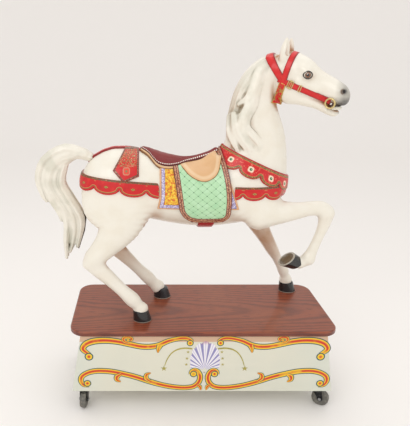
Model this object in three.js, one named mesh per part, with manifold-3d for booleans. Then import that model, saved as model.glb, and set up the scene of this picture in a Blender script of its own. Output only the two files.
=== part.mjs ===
// A carousel horse on its wheeled display stand.
// Millimetres, +Z up, +X towards the horse's nose; the horse's right side faces -Y.
// The horse, its saddlery and its tail are laid out from the middle of the platform's top.
import * as THREE from "three";
import { mergeVertices } from "three/addons/utils/BufferGeometryUtils.js";
import Module from "manifold-3d";

const wasm = await Module();
wasm.setup();

// ---- Driving dimensions: the stand ----
const GAP = 0.3; // between pieces that touch
const BOARD = { length: 1150, depth: 470, thick: 24, corner: 66, round: 4 };
const BOX = { height: 278, topHalf: 528, footHalf: 573, depth: 446, wall: 18, floor: 15 };
const CASTER = { height: 100, x: 522, y: 168, trail: 26, plate: 3, plateX: 74, plateY: 62 };
const WHEEL = { radius: 37.5, width: 25, rim: 29, inset: 1, bore: 4.6, shoulder: 3, sides: 16 };
const FORK = { thick: 3, inside: 29, crown: 24, crownThick: 4, foot: 12, sides: 10 };
const PIN = { radius: 5, head: 9, headThick: 3.5, boss: 21, bossHigh: 4.5, sides: 8 };
const AXLE = { radius: 4, head: 7, headThick: 4 };
const SWIVELS = { fl: -98, fr: -28, bl: 110, br: 205 }; // how far each caster stands turned

// ---- Driving dimensions: the horse ----
const HEAD_YAW = THREE.MathUtils.degToRad(-30); // the head looks out over the right shoulder
const POLL = new THREE.Vector3(268, -12, 0); // where the head meets the neck
const REACH = 330; // how far out the straps' lines start
const SINK = 9; // how deep a strap's underside lies in the body
const CELL = 8; // size of the lattice that the body is drawn through
const EVEN = 0.004; // how strongly thinning keeps faces alike in size
const HORSE_FACES = 4650;
const TAIL_FACES = 700;
const RELIEF = { strap: 8, band: 9, cloth: 8, quilt: 15, flap: 24, pendant: 10, bridle: 6 };
const HOOF = {
  high: 50,
  sole: 35,
  coronet: 28,
  long: 1.18,
  lean: -9,
  sides: 16,
  dish: 26,
  hollow: 8,
};
const LIFTED = {
  high: 57,
  lean: -26,
  sole: new THREE.Vector3(358, -102, 279),
  facing: new THREE.Vector3(-0.6, -0.15, 0.79).normalize(),
  toe: new THREE.Vector3(-0.77, -0.19, -0.62),
};

const HOOVES = [[-262, -126], [-166, 103], [458, 167]];
const BIT = { ring: 18, wire: 3.5, place: [234, 37, 941], flare: 8 };
const STAY = {
  strapTop: [-508, 462],
  bend: [-521, 372],
  foot: [-548, 292],
  haunch: [-392, 440],
  wide: 22,
  thick: 4,
  bolt: 8,
  boltLong: 26,
};

const WHITE = new THREE.MeshStandardMaterial({ color: 0xefe9dc, roughness: 0.42, metalness: 0 });
const HAIR = new THREE.MeshStandardMaterial({ color: 0xddd6c6, roughness: 0.5, metalness: 0 });
const OAK = new THREE.MeshStandardMaterial({ color: 0x8e4a30, roughness: 0.4, metalness: 0 });
const CREAM = new THREE.MeshStandardMaterial({ color: 0xeadfbd, roughness: 0.5, metalness: 0 });
const STEEL = new THREE.MeshStandardMaterial({ color: 0x9a9c9e, roughness: 0.35, metalness: 1 });
const IRON = new THREE.MeshStandardMaterial({ color: 0x3a2f28, roughness: 0.6, metalness: 0.8 });
const BLACK = new THREE.MeshStandardMaterial({ color: 0x1b1a19, roughness: 0.5, metalness: 0.6 });
const RUBBER = new THREE.MeshStandardMaterial({ color: 0x26262a, roughness: 0.6, metalness: 0 });

// ---- Solids ----
function solid(geometry) {
  const bare = new THREE.BufferGeometry();
  bare.setAttribute("position", geometry.getAttribute("position").clone());
  if (geometry.index) bare.setIndex(geometry.index.clone());
  const merged = mergeVertices(bare, 1e-3);
  return new wasm.Manifold(
    new wasm.Mesh({
      numProp: 3,
      vertProperties: merged.attributes.position.array,
      triVerts: new Uint32Array(merged.index.array),
    }),
  );
}

function geometryOf(body) {
  const mesh = body.getMesh();
  const geometry = new THREE.BufferGeometry();
  geometry.setAttribute("position", new THREE.BufferAttribute(mesh.vertProperties, 3));
  geometry.setIndex(new THREE.BufferAttribute(mesh.triVerts, 1));
  const flat = geometry.toNonIndexed();
  flat.computeVertexNormals();
  return flat;
}

function piece(name, geometry, material) {
  const mesh = new THREE.Mesh(geometry, material);
  mesh.name = name;
  return mesh;
}

// ---- Carved forms ----
// A form is a chain of oval sections, [x, y, z, half width, half depth], flowed into each other.
// Its width lies along `across`, its depth across the other way. Forms melt together over `blend`.
const SIDEWAYS = new THREE.Vector3(0, 1, 0);

function flow(rows, steps) {
  const out = [];
  const row = (i) => rows[Math.min(Math.max(i, 0), rows.length - 1)];
  for (let i = 0; i < rows.length - 1; i++)
    for (let s = 0; s < steps; s++) {
      const t = s / steps;
      out.push(
        rows[i].map((_, k) => {
          const [a, b, c, d] = [row(i - 1)[k], row(i)[k], row(i + 1)[k], row(i + 2)[k]];
          const bend = 2 * a - 5 * b + 4 * c - d;
          return b + 0.5 * t * (c - a + t * (bend + t * (3 * (b - c) + d - a)));
        }),
      );
    }
  out.push(rows[rows.length - 1]);
  return out;
}

function section(from, to, across) {
  const w = new THREE.Vector3(to[0] - from[0], to[1] - from[1], to[2] - from[2]);
  const length = w.length();
  w.normalize();
  const u = across.clone().addScaledVector(w, -across.dot(w)).normalize();
  const v = new THREE.Vector3().crossVectors(w, u);
  return { from, to, w, u, v, length };
}

function reach(s, x, y, z) {
  const [dx, dy, dz] = [x - s.from[0], y - s.from[1], z - s.from[2]];
  const along = dx * s.w.x + dy * s.w.y + dz * s.w.z;
  const t = Math.min(Math.max(along / s.length, 0), 1);
  const ru = s.from[3] + (s.to[3] - s.from[3]) * t;
  const rv = s.from[4] + (s.to[4] - s.from[4]) * t;
  const rw = s.tip ?? Math.min(ru, rv);
  const du = (dx * s.u.x + dy * s.u.y + dz * s.u.z) / ru;
  const dv = (dx * s.v.x + dy * s.v.y + dz * s.v.z) / rv;
  const dw = (along - t * s.length) / rw;
  const size = Math.sqrt(du * du + dv * dv + dw * dw);
  const slope = Math.sqrt((du / ru) ** 2 + (dv / rv) ** 2 + (dw / rw) ** 2);
  return slope < 1e-9 ? -Math.min(ru, rv, rw) : (size * (size - 1)) / slope;
}

function boxAround(sections) {
  const box = new THREE.Box3();
  for (const s of sections)
    for (const end of [s.from, s.to]) {
      const r = Math.max(end[3], end[4], s.tip ?? 0);
      box.expandByPoint(new THREE.Vector3(end[0] - r, end[1] - r, end[2] - r));
      box.expandByPoint(new THREE.Vector3(end[0] + r, end[1] + r, end[2] + r));
    }
  return box;
}

function form(sections, { blend = 24, carve = false } = {}) {
  const box = boxAround(sections).expandByScalar(blend + 2.5 * CELL);
  return { sections, blend, carve, box };
}

function chain(rows, options = {}) {
  const flowed = flow(rows, options.steps ?? 3);
  const across = options.across ?? SIDEWAYS;
  const sections = [];
  for (let i = 0; i + 1 < flowed.length; i++)
    sections.push(section(flowed[i], flowed[i + 1], across));
  return form(sections, options);
}

// An egg: centre, half sizes [across the body, fore and aft, up], and a tilt of the nose end upwards.
function egg(centre, [wide, long, tall], options = {}) {
  const tilt = options.tilt ?? 0;
  const w = new THREE.Vector3(Math.cos(tilt), 0, Math.sin(tilt));
  if (options.yaw) w.applyAxisAngle(new THREE.Vector3(0, 0, 1), options.yaw);
  const from = [...centre, wide, tall];
  const to = [centre[0] + w.x * 0.01, centre[1] + w.y * 0.01, centre[2] + w.z * 0.01, wide, tall];
  const across = options.across ?? SIDEWAYS;
  const s = section(from, to, across);
  s.tip = long;
  return form([s], options);
}

function formAt(f, x, y, z) {
  let d = Infinity;
  for (const s of f.sections) d = Math.min(d, reach(s, x, y, z));
  return d;
}

const FAR = 400;

function distance(forms, x, y, z) {
  let d = FAR;
  for (const f of forms) {
    const b = f.box;
    if (x < b.min.x || x > b.max.x || y < b.min.y || y > b.max.y || z < b.min.z || z > b.max.z)
      continue;
    const e = formAt(f, x, y, z) * (f.carve ? -1 : 1);
    const h = Math.max(f.blend - Math.abs(d - e), 0) / f.blend;
    const melt = (h * h * f.blend) / 4;
    d = f.carve ? Math.max(d, e) + melt : Math.min(d, e) - melt;
  }
  return d;
}

function normalAt(forms, p) {
  const e = 2;
  const at = (x, y, z) => distance(forms, x, y, z);
  return new THREE.Vector3(
    at(p.x + e, p.y, p.z) - at(p.x - e, p.y, p.z),
    at(p.x, p.y + e, p.z) - at(p.x, p.y - e, p.z),
    at(p.x, p.y, p.z + e) - at(p.x, p.y, p.z - e),
  ).normalize();
}

// ---- The horse's forms ----
function bodyForms() {
  const barrel = [
    [-425, 0, 604, 96, 118], [-375, 0, 598, 116, 146], [-300, 0, 590, 124, 147],
    [-215, 0, 573, 128, 138], [-115, 0, 548, 132, 132], [-10, 0, 538, 136, 134],
    [90, 0, 548, 134, 138], [175, 0, 576, 126, 150], [232, 0, 606, 103, 136],
  ];
  const neck = [
    [194, 0, 640, 104, 142], [211, -1, 716, 94, 138], [218, -3, 780, 82, 119],
    [208, -6, 840, 70, 106], [200, -9, 900, 61, 93], [200, -11, 960, 54, 82],
    [219, -13, 1014, 50, 74], [250, -14, 1058, 46, 60],
  ];
  return [chain(barrel, { blend: 60 }), chain(neck, { blend: 70 })];
}

function nearHind() {
  return [
    chain([
      [-384, -52, 622, 64, 126], [-372, -78, 552, 62, 148], [-362, -94, 490, 56, 140],
      [-360, -102, 440, 50, 102], [-376, -107, 400, 45, 78], [-402, -110, 362, 41, 62],
      [-434, -113, 325, 36, 51], [-468, -115, 290, 32, 43],
    ], { blend: 46 }),
    chain([
      [-484, -115, 272, 30, 42], [-452, -116, 238, 27, 37], [-400, -118, 188, 24, 31],
      [-352, -120, 140, 23, 28], [-308, -122, 96, 27, 33], [-284, -123, 68, 24, 27],
      [-270, -124, 50, 30, 34],
    ], { blend: 26 }),
  ];
}

function farHind() {
  return [
    chain([
      [-384, 52, 622, 64, 126], [-360, 78, 552, 62, 142], [-338, 92, 490, 56, 130],
      [-322, 98, 436, 50, 106], [-326, 101, 392, 45, 82], [-348, 102, 350, 40, 64],
      [-378, 103, 314, 35, 50], [-402, 103, 284, 31, 42],
    ], { blend: 46 }),
    chain([
      [-406, 103, 270, 30, 40], [-378, 103, 242, 27, 37], [-330, 103, 194, 24, 31],
      [-284, 103, 146, 23, 27], [-236, 103, 98, 27, 31], [-210, 103, 70, 24, 27],
      [-188, 103, 50, 30, 33],
    ], { blend: 26 }),
  ];
}

function farFore() {
  return [
    chain([
      [150, 58, 640, 52, 104], [190, 82, 560, 52, 108], [222, 90, 485, 46, 84],
      [252, 95, 420, 40, 60], [288, 102, 350, 34, 41], [324, 115, 290, 30, 33],
      [356, 129, 236, 28, 29], [384, 142, 190, 23, 23], [408, 152, 146, 21, 21],
      [428, 160, 112, 24, 26], [438, 163, 84, 22, 22], [446, 166, 60, 29, 31],
    ], { blend: 34 }),
  ];
}

function nearFore() {
  return [
    chain([
      [130, -52, 690, 38, 66], [168, -80, 612, 48, 98], [212, -90, 535, 48, 96],
      [240, -94, 480, 45, 66],
    ], { blend: 44 }),
    chain([
      [225, -94, 474, 46, 62], [285, -95, 482, 42, 53], [340, -96, 489, 36, 45],
      [392, -96, 495, 31, 36], [440, -96, 504, 28, 31], [484, -96, 503, 29, 33],
      [508, -96, 488, 29, 34],
    ], { blend: 30 }),
    chain([
      [512, -96, 478, 28, 32], [507, -96, 436, 23, 26], [495, -96, 395, 19, 21],
      [480, -96, 350, 18, 20], [466, -96, 308, 20, 23], [456, -96, 280, 24, 27],
    ], { blend: 16 }),
    chain([
      [454, -96, 276, 24, 27], [440, -94, 266, 22, 25], [420, -90, 256, 25, 26],
    ], { blend: 14 }),
  ];
}

// A hoof is an oval cone frustum: wide at the sole, narrower at the coronet.
function hoofSolid({ high, sole, coronet, long, lean }) {
  const geometry = new THREE.CylinderGeometry(coronet, sole, high, HOOF.sides, 1);
  geometry.rotateX(Math.PI / 2);
  geometry.scale(long, 1, 1);
  geometry.translate(0, 0, high / 2);
  const shear = new THREE.Matrix4().makeShear(0, 0, 0, 0, lean / high, 0);
  return solid(geometry.applyMatrix4(shear));
}

function standingHoof(x, y) {
  return hoofSolid(HOOF).translate([x, y, GAP]);
}

// The lifted hoof points back and shows its hollow sole.
function liftedHoof() {
  const { sole, facing, toe, high, lean } = LIFTED;
  const up = facing.clone().negate();
  const forward = toe.clone().addScaledVector(up, -toe.dot(up)).normalize();
  const turn = new THREE.Matrix4().makeBasis(forward, up.clone().cross(forward), up);
  turn.setPosition(sole);
  const dish = new THREE.SphereGeometry(HOOF.dish, 12, 6);
  dish.scale(HOOF.long, 1, HOOF.hollow / HOOF.dish);
  const hollow = hoofSolid({ ...HOOF, high, lean }).subtract(solid(dish));
  return hollow.transform(turn.elements);
}

// Places in the head's own frame: forward, to the left, up.
function onHead(forward, left, up) {
  const c = Math.cos(HEAD_YAW);
  const s = Math.sin(HEAD_YAW);
  return [POLL.x + forward * c - left * s, POLL.y + forward * s + left * c, up];
}

const HEAD_LEFT = new THREE.Vector3(-Math.sin(HEAD_YAW), Math.cos(HEAD_YAW), 0);
const headChain = (rows, options) =>
  chain(rows.map(([f, l, u, ...size]) => [...onHead(f, l, u), ...size]), {
    across: HEAD_LEFT,
    ...options,
  });
const headEgg = (place, size, options) =>
  egg(onHead(...place), size, { across: HEAD_LEFT, yaw: HEAD_YAW, ...options });

function skullForms() {
  return [
    headChain([
      [14, 0, 1060, 45, 58], [60, 0, 1060, 53, 70], [104, 0, 1044, 52, 70],
      [146, 0, 1018, 44, 60], [186, 0, 1003, 36, 52], [226, 0, 989, 33, 45],
      [254, 0, 976, 34, 40], [264, 0, 967, 33, 35],
    ], { blend: 26 }),
    headEgg([68, 0, 992], [48, 58, 60], { blend: 22 }),
    headChain([
      [80, 0, 966, 36, 34], [130, 0, 950, 31, 26], [180, 0, 934, 25, 20],
      [222, 0, 914, 21, 18], [243, 0, 903, 19, 14], [254, 0, 904, 17, 11],
    ], { blend: 16 }),
  ];
}

function faceForms() {
  const both = (make) => [make(-1), make(1)];
  return [
    ...both((s) => headEgg([130, s * 40, 1062], [15, 28, 14], { blend: 14, tilt: -0.5 })),
    ...both((s) =>
      headChain([[108, s * 44, 1020, 8, 9], [180, s * 32, 990, 6, 7]], { blend: 16 })),
    ...both((s) => headEgg([145, s * 44, 1045], [12, 18, 16], { blend: 5 })),
    ...both((s) => headEgg([268, s * 22, 984], [13, 19, 15], { blend: 12 })),
    ...both((s) =>
      headEgg([274, s * 31, 986], [9, 7, 10], { blend: 5, carve: true })),
    headEgg([277, 0, 951], [26, 15, 17], { blend: 12 }),
    headChain([[238, 0, 930, 15, 6], [262, 0, 926, 14, 5]], { blend: 3 }),
    headChain([[40, 0, 1112, 20, 17], [84, 0, 1112, 19, 16], [126, 0, 1090, 9, 8]], {
      blend: 8,
    }),
  ];
}

function earForms() {
  return [-1, 1].flatMap((s) => [
    headChain([
      [44, s * 34, 1104, 16, 20], [47, s * 37, 1136, 15, 18], [49, s * 36, 1160, 10, 13],
      [50, s * 33, 1180, 4, 5],
    ], { blend: 8 }),
    headChain([
      [60, s * 44, 1122, 7, 9], [62, s * 45, 1142, 7, 8], [58, s * 41, 1164, 3, 4],
    ], { blend: 4, carve: true }),
  ]);
}

// ---- Hair ----
// A lock of hair: it swells from its root and narrows to its tip.
function lock(rows, wide, thick, blend = 7) {
  const last = rows.length - 1;
  const sized = rows.map(([x, y, z], i) => {
    const full = Math.sin(Math.PI * (0.25 + (0.68 * i) / last)) ** 0.7;
    return [x, y, z, thick * full, wide * full];
  });
  return chain(sized, { blend });
}

function maneForms() {
  const crest = chain([
    [258, -14, 1100, 30, 18], [206, -14, 1074, 34, 21], [164, -14, 1024, 37, 24],
    [135, -12, 958, 40, 26], [119, -10, 886, 43, 26], [113, -8, 820, 44, 25],
    [116, -5, 768, 42, 20],
  ], { blend: 18 });
  const nearLocks = [
    lock([[238, -44, 1092], [208, -50, 1062], [186, -56, 1016], [148, -52, 978]], 24, 14),
    lock([[198, -52, 1040], [186, -60, 996], [164, -62, 952], [124, -54, 926]], 25, 15),
    lock([[184, -58, 984], [172, -66, 930], [150, -68, 890], [112, -58, 862]], 26, 15),
    lock([[166, -64, 920], [148, -72, 872], [142, -74, 830], [160, -76, 792], [190, -76, 768]],
      25, 15),
    lock([[140, -66, 886], [150, -74, 838], [184, -80, 800], [210, -82, 768], [210, -84, 734]],
      22, 15),
    lock([[112, -52, 890], [120, -68, 832], [148, -80, 784], [172, -86, 748], [168, -88, 720]],
      22, 15),
    lock([[98, -36, 880], [100, -54, 824], [116, -70, 778], [132, -80, 736]], 21, 14),
  ];
  const farLocks = [0, 1, 2, 3].map((i) => {
    const [x, y, z] = [206 - i * 28, 36 + i * 8, 1062 - i * 84];
    return lock([[x + 10, y, z], [x, y + 10, z - 52], [x - 14, y + 12, z - 96],
      [x + 8, y + 14, z - 150]], 25, 15);
  });
  return [crest, ...nearLocks, ...farLocks];
}

function tailForms() {
  const root = chain([
    [-490, 0, 707, 24, 20], [-545, 0, 723, 30, 26], [-596, 0, 716, 33, 34],
    [-640, 0, 680, 34, 38], [-664, 0, 618, 32, 42], [-650, 0, 556, 32, 42],
    [-616, 0, 496, 31, 42], [-580, 0, 440, 29, 40], [-564, 0, 384, 26, 32],
    [-574, 0, 328, 20, 22],
  ], { blend: 12 });
  const paths = [
    [[-506, 722], [-591, 742], [-676, 694], [-706, 614], [-690, 542], [-678, 514]],
    [[-506, 714], [-588, 730], [-660, 680], [-688, 608], [-664, 540], [-634, 482], [-618, 424]],
    [[-540, 716], [-622, 684], [-664, 604], [-640, 536], [-606, 478], [-594, 413], [-602, 328],
      [-603, 250]],
    [[-560, 706], [-620, 660], [-638, 596], [-608, 530], [-574, 470], [-560, 405], [-568, 336],
      [-588, 276]],
    [[-596, 668], [-612, 596], [-578, 525], [-546, 470], [-530, 425], [-538, 366], [-552, 302]],
  ];
  const strand = (rows, y) => lock(rows.map(([x, z]) => [x, y, z]), 19, 19);
  return [root, ...paths.flatMap((rows, i) => [strand(rows, -15 + (i % 2) * 4), strand(rows, 14)])];
}

// ---- Drawing a field of forms as a closed mesh ----
const CORNERS = [0, 1, 2, 3, 4, 5, 6, 7].map((i) => [i & 1, (i >> 1) & 1, (i >> 2) & 1]);
const WAYS = [[1, 2, 4], [1, 4, 2], [2, 1, 4], [2, 4, 1], [4, 1, 2], [4, 2, 1]];
const WEDGES = WAYS.map(([a, b]) => [0, a, a + b, 7]); // six tetrahedra fill a cell

const COARSE = 4; // lattice steps looked over at once where no surface is near

function lattice(forms) {
  const box = new THREE.Box3();
  for (const f of forms) if (!f.carve) box.union(boxAround(f.sections));
  box.expandByScalar(CELL * 1.5);
  const size = box.getSize(new THREE.Vector3()).divideScalar(CELL * COARSE);
  const [nx, ny, nz] = [size.x, size.y, size.z].map((n) => Math.ceil(n) * COARSE + 1);
  const { min } = box;
  const at = (i, j, k) => distance(forms, min.x + i * CELL, min.y + j * CELL, min.z + k * CELL);
  const values = new Float32Array(nx * ny * nz);
  const half = COARSE / 2;
  for (let k = 0; k < nz; k += COARSE)
    for (let j = 0; j < ny; j += COARSE)
      for (let i = 0; i < nx; i += COARSE) {
        const middle = at(i + half, j + half, k + half);
        const near = Math.abs(middle) < COARSE * CELL * 1.6;
        for (let c = k; c < Math.min(k + COARSE, nz); c++)
          for (let b = j; b < Math.min(j + COARSE, ny); b++)
            for (let a = i; a < Math.min(i + COARSE, nx); a++)
              values[a + nx * (b + ny * c)] = near ? at(a, b, c) : middle;
      }
  return { values, nx, ny, nz, origin: min };
}

function draw(forms) {
  const grid = lattice(forms);
  const { values, nx, ny, nz, origin } = grid;
  const points = [];
  const faces = [];
  const known = new Map();
  const place = (n) => [n % nx, Math.floor(n / nx) % ny, Math.floor(n / (nx * ny))];

  // The point where the surface crosses the line from lattice point a to b.
  function crossing(a, b) {
    const key = Math.min(a, b) * values.length + Math.max(a, b);
    if (known.has(key)) return known.get(key);
    const t = Math.min(Math.max(values[a] / (values[a] - values[b]), 0.1), 0.9);
    const [pa, pb] = [place(a), place(b)];
    points.push(pa.map((v, i) => origin.getComponent(i) + CELL * (v + (pb[i] - v) * t)));
    known.set(key, points.length - 1);
    return points.length - 1;
  }

  function wedge(nodes) {
    const inner = nodes.filter((n) => values[n] < 0);
    const outer = nodes.filter((n) => values[n] >= 0);
    if (!inner.length || !outer.length) return;
    const ring = [];
    if (inner.length === 2) {
      ring.push(crossing(inner[0], outer[0]), crossing(inner[0], outer[1]));
      ring.push(crossing(inner[1], outer[1]), crossing(inner[1], outer[0]));
    } else for (const a of inner) for (const b of outer) ring.push(crossing(a, b));
    const middle = (set) => [0, 1, 2].map((i) => set.reduce((s, n) => s + place(n)[i], 0) / set.length);
    const out = new THREE.Vector3(...middle(outer)).sub(new THREE.Vector3(...middle(inner)));
    const [p, q, r] = ring.map((i) => new THREE.Vector3(...points[i]));
    const flip = q.clone().sub(p).cross(r.clone().sub(p)).dot(out) < 0;
    if (flip) ring.reverse();
    for (let i = 1; i + 1 < ring.length; i++) faces.push([ring[0], ring[i], ring[i + 1]]);
  }

  const steps = CORNERS.map(([i, j, k]) => i + nx * (j + ny * k));
  for (let k = 0; k + 1 < nz; k++)
    for (let j = 0; j + 1 < ny; j++)
      for (let i = 0; i + 1 < nx; i++) {
        const base = i + nx * (j + ny * k);
        const low = steps.reduce((s, d) => s + (values[base + d] < 0), 0);
        if (low === 0 || low === 8) continue;
        for (const w of WEDGES) wedge(w.map((c) => base + steps[c]));
      }
  return { points, faces };
}

// Slides each point along the slope of the field until it lies on the surface.
function settle(mesh, forms, rounds) {
  for (let round = 0; round < rounds; round++)
    for (const p of mesh.points) {
      const at = new THREE.Vector3(...p);
      const d = distance(forms, at.x, at.y, at.z);
      const n = normalAt(forms, at);
      const move = Math.min(Math.max(-d, -CELL / 2), CELL / 2);
      p[0] += n.x * move;
      p[1] += n.y * move;
      p[2] += n.z * move;
    }
}

// ---- Thinning: edges fold away where the surface is nearly flat ----
class Heap {
  constructor() {
    this.items = [];
  }
  push(item) {
    const a = this.items;
    let i = a.push(item) - 1;
    while (i > 0) {
      const up = (i - 1) >> 1;
      if (a[up].cost <= item.cost) break;
      a[i] = a[up];
      i = up;
    }
    a[i] = item;
  }
  pop() {
    const a = this.items;
    const top = a[0];
    const last = a.pop();
    if (!a.length) return top;
    let i = 0;
    for (;;) {
      let kid = 2 * i + 1;
      if (kid >= a.length) break;
      if (kid + 1 < a.length && a[kid + 1].cost < a[kid].cost) kid++;
      if (a[kid].cost >= last.cost) break;
      a[i] = a[kid];
      i = kid;
    }
    a[i] = last;
    return top;
  }
}

const minus = (a, b) => [a[0] - b[0], a[1] - b[1], a[2] - b[2]];
const cross = (a, b) => [
  a[1] * b[2] - a[2] * b[1],
  a[2] * b[0] - a[0] * b[2],
  a[0] * b[1] - a[1] * b[0],
];
const dot = (a, b) => a[0] * b[0] + a[1] * b[1] + a[2] * b[2];

// The squared distance to a face's plane, as ten sums.
function planeSums(p, q, r, weight) {
  const n = cross(minus(q, p), minus(r, p));
  const area = Math.hypot(...n);
  if (area < 1e-9) return new Float64Array(10);
  const [a, b, c] = n.map((v) => v / area);
  const d = -(a * p[0] + b * p[1] + c * p[2]);
  const w = area * weight;
  return Float64Array.of(a * a, a * b, a * c, a * d, b * b, b * c, b * d, c * c, c * d, d * d).map(
    (v) => v * w,
  );
}

function strayOf(q, [x, y, z]) {
  return (
    q[0] * x * x + 2 * q[1] * x * y + 2 * q[2] * x * z + 2 * q[3] * x +
    q[4] * y * y + 2 * q[5] * y * z + 2 * q[6] * y +
    q[7] * z * z + 2 * q[8] * z + q[9]
  );
}

// The point where the summed planes stray least, if they pin one down.
function keenest(q) {
  const [a, b, c, d, e, f, g, h, i] = q;
  const det = a * (e * h - f * f) - b * (b * h - f * c) + c * (b * f - e * c);
  if (Math.abs(det) < 1e-3 * (a + e + h) ** 3) return null;
  return [
    (-d * (e * h - f * f) + g * (b * h - c * f) - i * (b * f - c * e)) / det,
    (d * (b * h - c * f) - g * (a * h - c * c) + i * (a * f - b * c)) / det,
    (-d * (b * f - c * e) + g * (a * f - b * c) - i * (a * e - b * b)) / det,
  ];
}

function thin(mesh, target, care) {
  const { points, faces } = mesh;
  const around = points.map(() => new Set());
  const sums = points.map(() => new Float64Array(10));
  const stamp = new Int32Array(points.length);
  faces.forEach((f, i) => {
    const s = planeSums(...f.map((v) => points[v]), care(points[f[0]]));
    for (const v of f) {
      around[v].add(i);
      for (let k = 0; k < 10; k++) sums[v][k] += s[k];
    }
  });
  const beside = (v) => {
    const set = new Set();
    for (const f of around[v]) for (const w of faces[f]) if (w !== v) set.add(w);
    return set;
  };
  const heap = new Heap();
  const offer = (a, b) => {
    const q = sums[a].map((v, k) => v + sums[b][k]);
    const middle = points[a].map((v, k) => (v + points[b][k]) / 2);
    const length = Math.hypot(...minus(points[a], points[b]));
    const choices = [middle, points[a], points[b]];
    const keen = keenest(q);
    if (keen && Math.hypot(...minus(keen, middle)) < length) choices.push(keen);
    const costs = choices.map((p) => strayOf(q, p));
    const best = costs.indexOf(Math.min(...costs));
    const cost = costs[best] + EVEN * length ** 3 * care(middle);
    heap.push({ cost, a, b, to: [...choices[best]], stamps: stamp[a] + stamp[b] });
  };
  points.forEach((_, v) => beside(v).forEach((w) => v < w && offer(v, w)));

  const turns = (v, other, to) => {
    for (const f of around[v]) {
      if (faces[f].includes(other)) continue;
      const old = faces[f].map((w) => points[w]);
      const now = faces[f].map((w) => (w === v ? to : points[w]));
      const n0 = cross(minus(old[1], old[0]), minus(old[2], old[0]));
      const n1 = cross(minus(now[1], now[0]), minus(now[2], now[0]));
      if (dot(n0, n1) < 0.3 * Math.hypot(...n0) * Math.hypot(...n1)) return true;
    }
    return false;
  };
  let left = faces.length;
  while (left > target && heap.items.length) {
    const { a, b, to, stamps } = heap.pop();
    if (!around[a].size || !around[b].size || stamps !== stamp[a] + stamp[b]) continue;
    const near = beside(a);
    if (!near.has(b)) continue;
    const shared = [...beside(b)].filter((w) => near.has(w));
    if (shared.length !== 2 || turns(a, b, to) || turns(b, a, to)) continue;
    points[a] = to;
    for (let k = 0; k < 10; k++) sums[a][k] += sums[b][k];
    for (const f of [...around[b]]) {
      if (faces[f].includes(a)) {
        for (const w of faces[f]) around[w].delete(f);
        left--;
      } else {
        faces[f] = faces[f].map((w) => (w === b ? a : w));
        around[a].add(f);
      }
    }
    around[b].clear();
    stamp[a]++;
    for (const w of beside(a)) offer(a, w);
  }
  const live = new Set();
  around.forEach((set) => set.forEach((f) => live.add(f)));
  return { points, faces: [...live].map((f) => faces[f]) };
}

function meshGeometry({ points, faces }) {
  const geometry = new THREE.BufferGeometry();
  geometry.setAttribute("position", new THREE.Float32BufferAttribute(points.flat(), 3));
  geometry.setIndex(faces.flat());
  return geometry;
}

// Fine features get more faces than the broad flanks.
function horseCare([x, y, z]) {
  if (z > 880 && x > 290) return 5;
  if (z > 430 && z < 770 && x < 370) return 2.2;
  return 1.6;
}

function sculpt(forms) {
  const mesh = draw(forms);
  settle(mesh, forms, 1);
  return solid(meshGeometry(mesh));
}

function thinned(body, target, care) {
  const { vertProperties, triVerts } = body.getMesh();
  const points = [];
  for (let i = 0; i < vertProperties.length; i += 3)
    points.push([vertProperties[i], vertProperties[i + 1], vertProperties[i + 2]]);
  const faces = [];
  for (let i = 0; i < triVerts.length; i += 3)
    faces.push([triVerts[i], triVerts[i + 1], triVerts[i + 2]]);
  return meshGeometry(thin({ points, faces }, target, care)).toNonIndexed();
}

// ---- Saddlery, laid on the body ----
// Walks from outside along a line until the field falls to `level`.
function meet(forms, origin, direction, level) {
  let far = REACH;
  for (let i = 0; i < 90; i++) {
    const p = origin.clone().addScaledVector(direction, far);
    const d = distance(forms, p.x, p.y, p.z) - level;
    if (d < 0.15) return p;
    far -= Math.min(Math.max(d * 0.75, 0.15), 16);
    if (far < 4) return p;
  }
  return origin.clone().addScaledVector(direction, far);
}

// Six times the volume within the faces, negative where they face inwards.
function signedVolume(points, faces) {
  return faces.reduce((sum, [a, b, c]) => {
    const [p, q, r] = [points[a], points[b], points[c]];
    const x = p[0] * (q[1] * r[2] - q[2] * r[1]);
    const y = p[1] * (q[2] * r[0] - q[0] * r[2]);
    const z = p[2] * (q[0] * r[1] - q[1] * r[0]);
    return sum + x + y + z;
  }, 0);
}

// A slab over a grid: line(u, v) gives [origin, direction] for each point.
function laid(forms, line, nu, nv, height) {
  const points = [];
  const add = (level) => {
    for (let j = 0; j <= nv; j++)
      for (let i = 0; i <= nu; i++) {
        const [u, v] = [i / nu, j / nv];
        const [origin, direction] = line(u, v);
        points.push(meet(forms, origin, direction, level(u, v)).toArray());
      }
  };
  add(typeof height === "function" ? height : () => height);
  add(() => -SINK);
  const faces = [];
  const under = (nu + 1) * (nv + 1);
  const quad = (a, b, c, d) => faces.push([a, b, c], [a, c, d]);
  const at = (i, j) => i + j * (nu + 1);
  for (let j = 0; j < nv; j++)
    for (let i = 0; i < nu; i++) {
      const [a, b, c, d] = [at(i, j), at(i + 1, j), at(i + 1, j + 1), at(i, j + 1)];
      quad(a, b, c, d);
      quad(under + d, under + c, under + b, under + a);
    }
  const wall = (a, b) => quad(b, a, under + a, under + b);
  for (let i = 0; i < nu; i++) {
    wall(at(i, 0), at(i + 1, 0));
    wall(at(i + 1, nv), at(i, nv));
  }
  for (let j = 0; j < nv; j++) {
    wall(at(nu, j), at(nu, j + 1));
    wall(at(0, j + 1), at(0, j));
  }
  const outward = signedVolume(points, faces) > 0;
  return solid(meshGeometry({ points, faces: outward ? faces : faces.map(([a, b, c]) => [a, c, b]) }));
}

const lerp = THREE.MathUtils.lerp;
const rad = THREE.MathUtils.degToRad;

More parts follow.
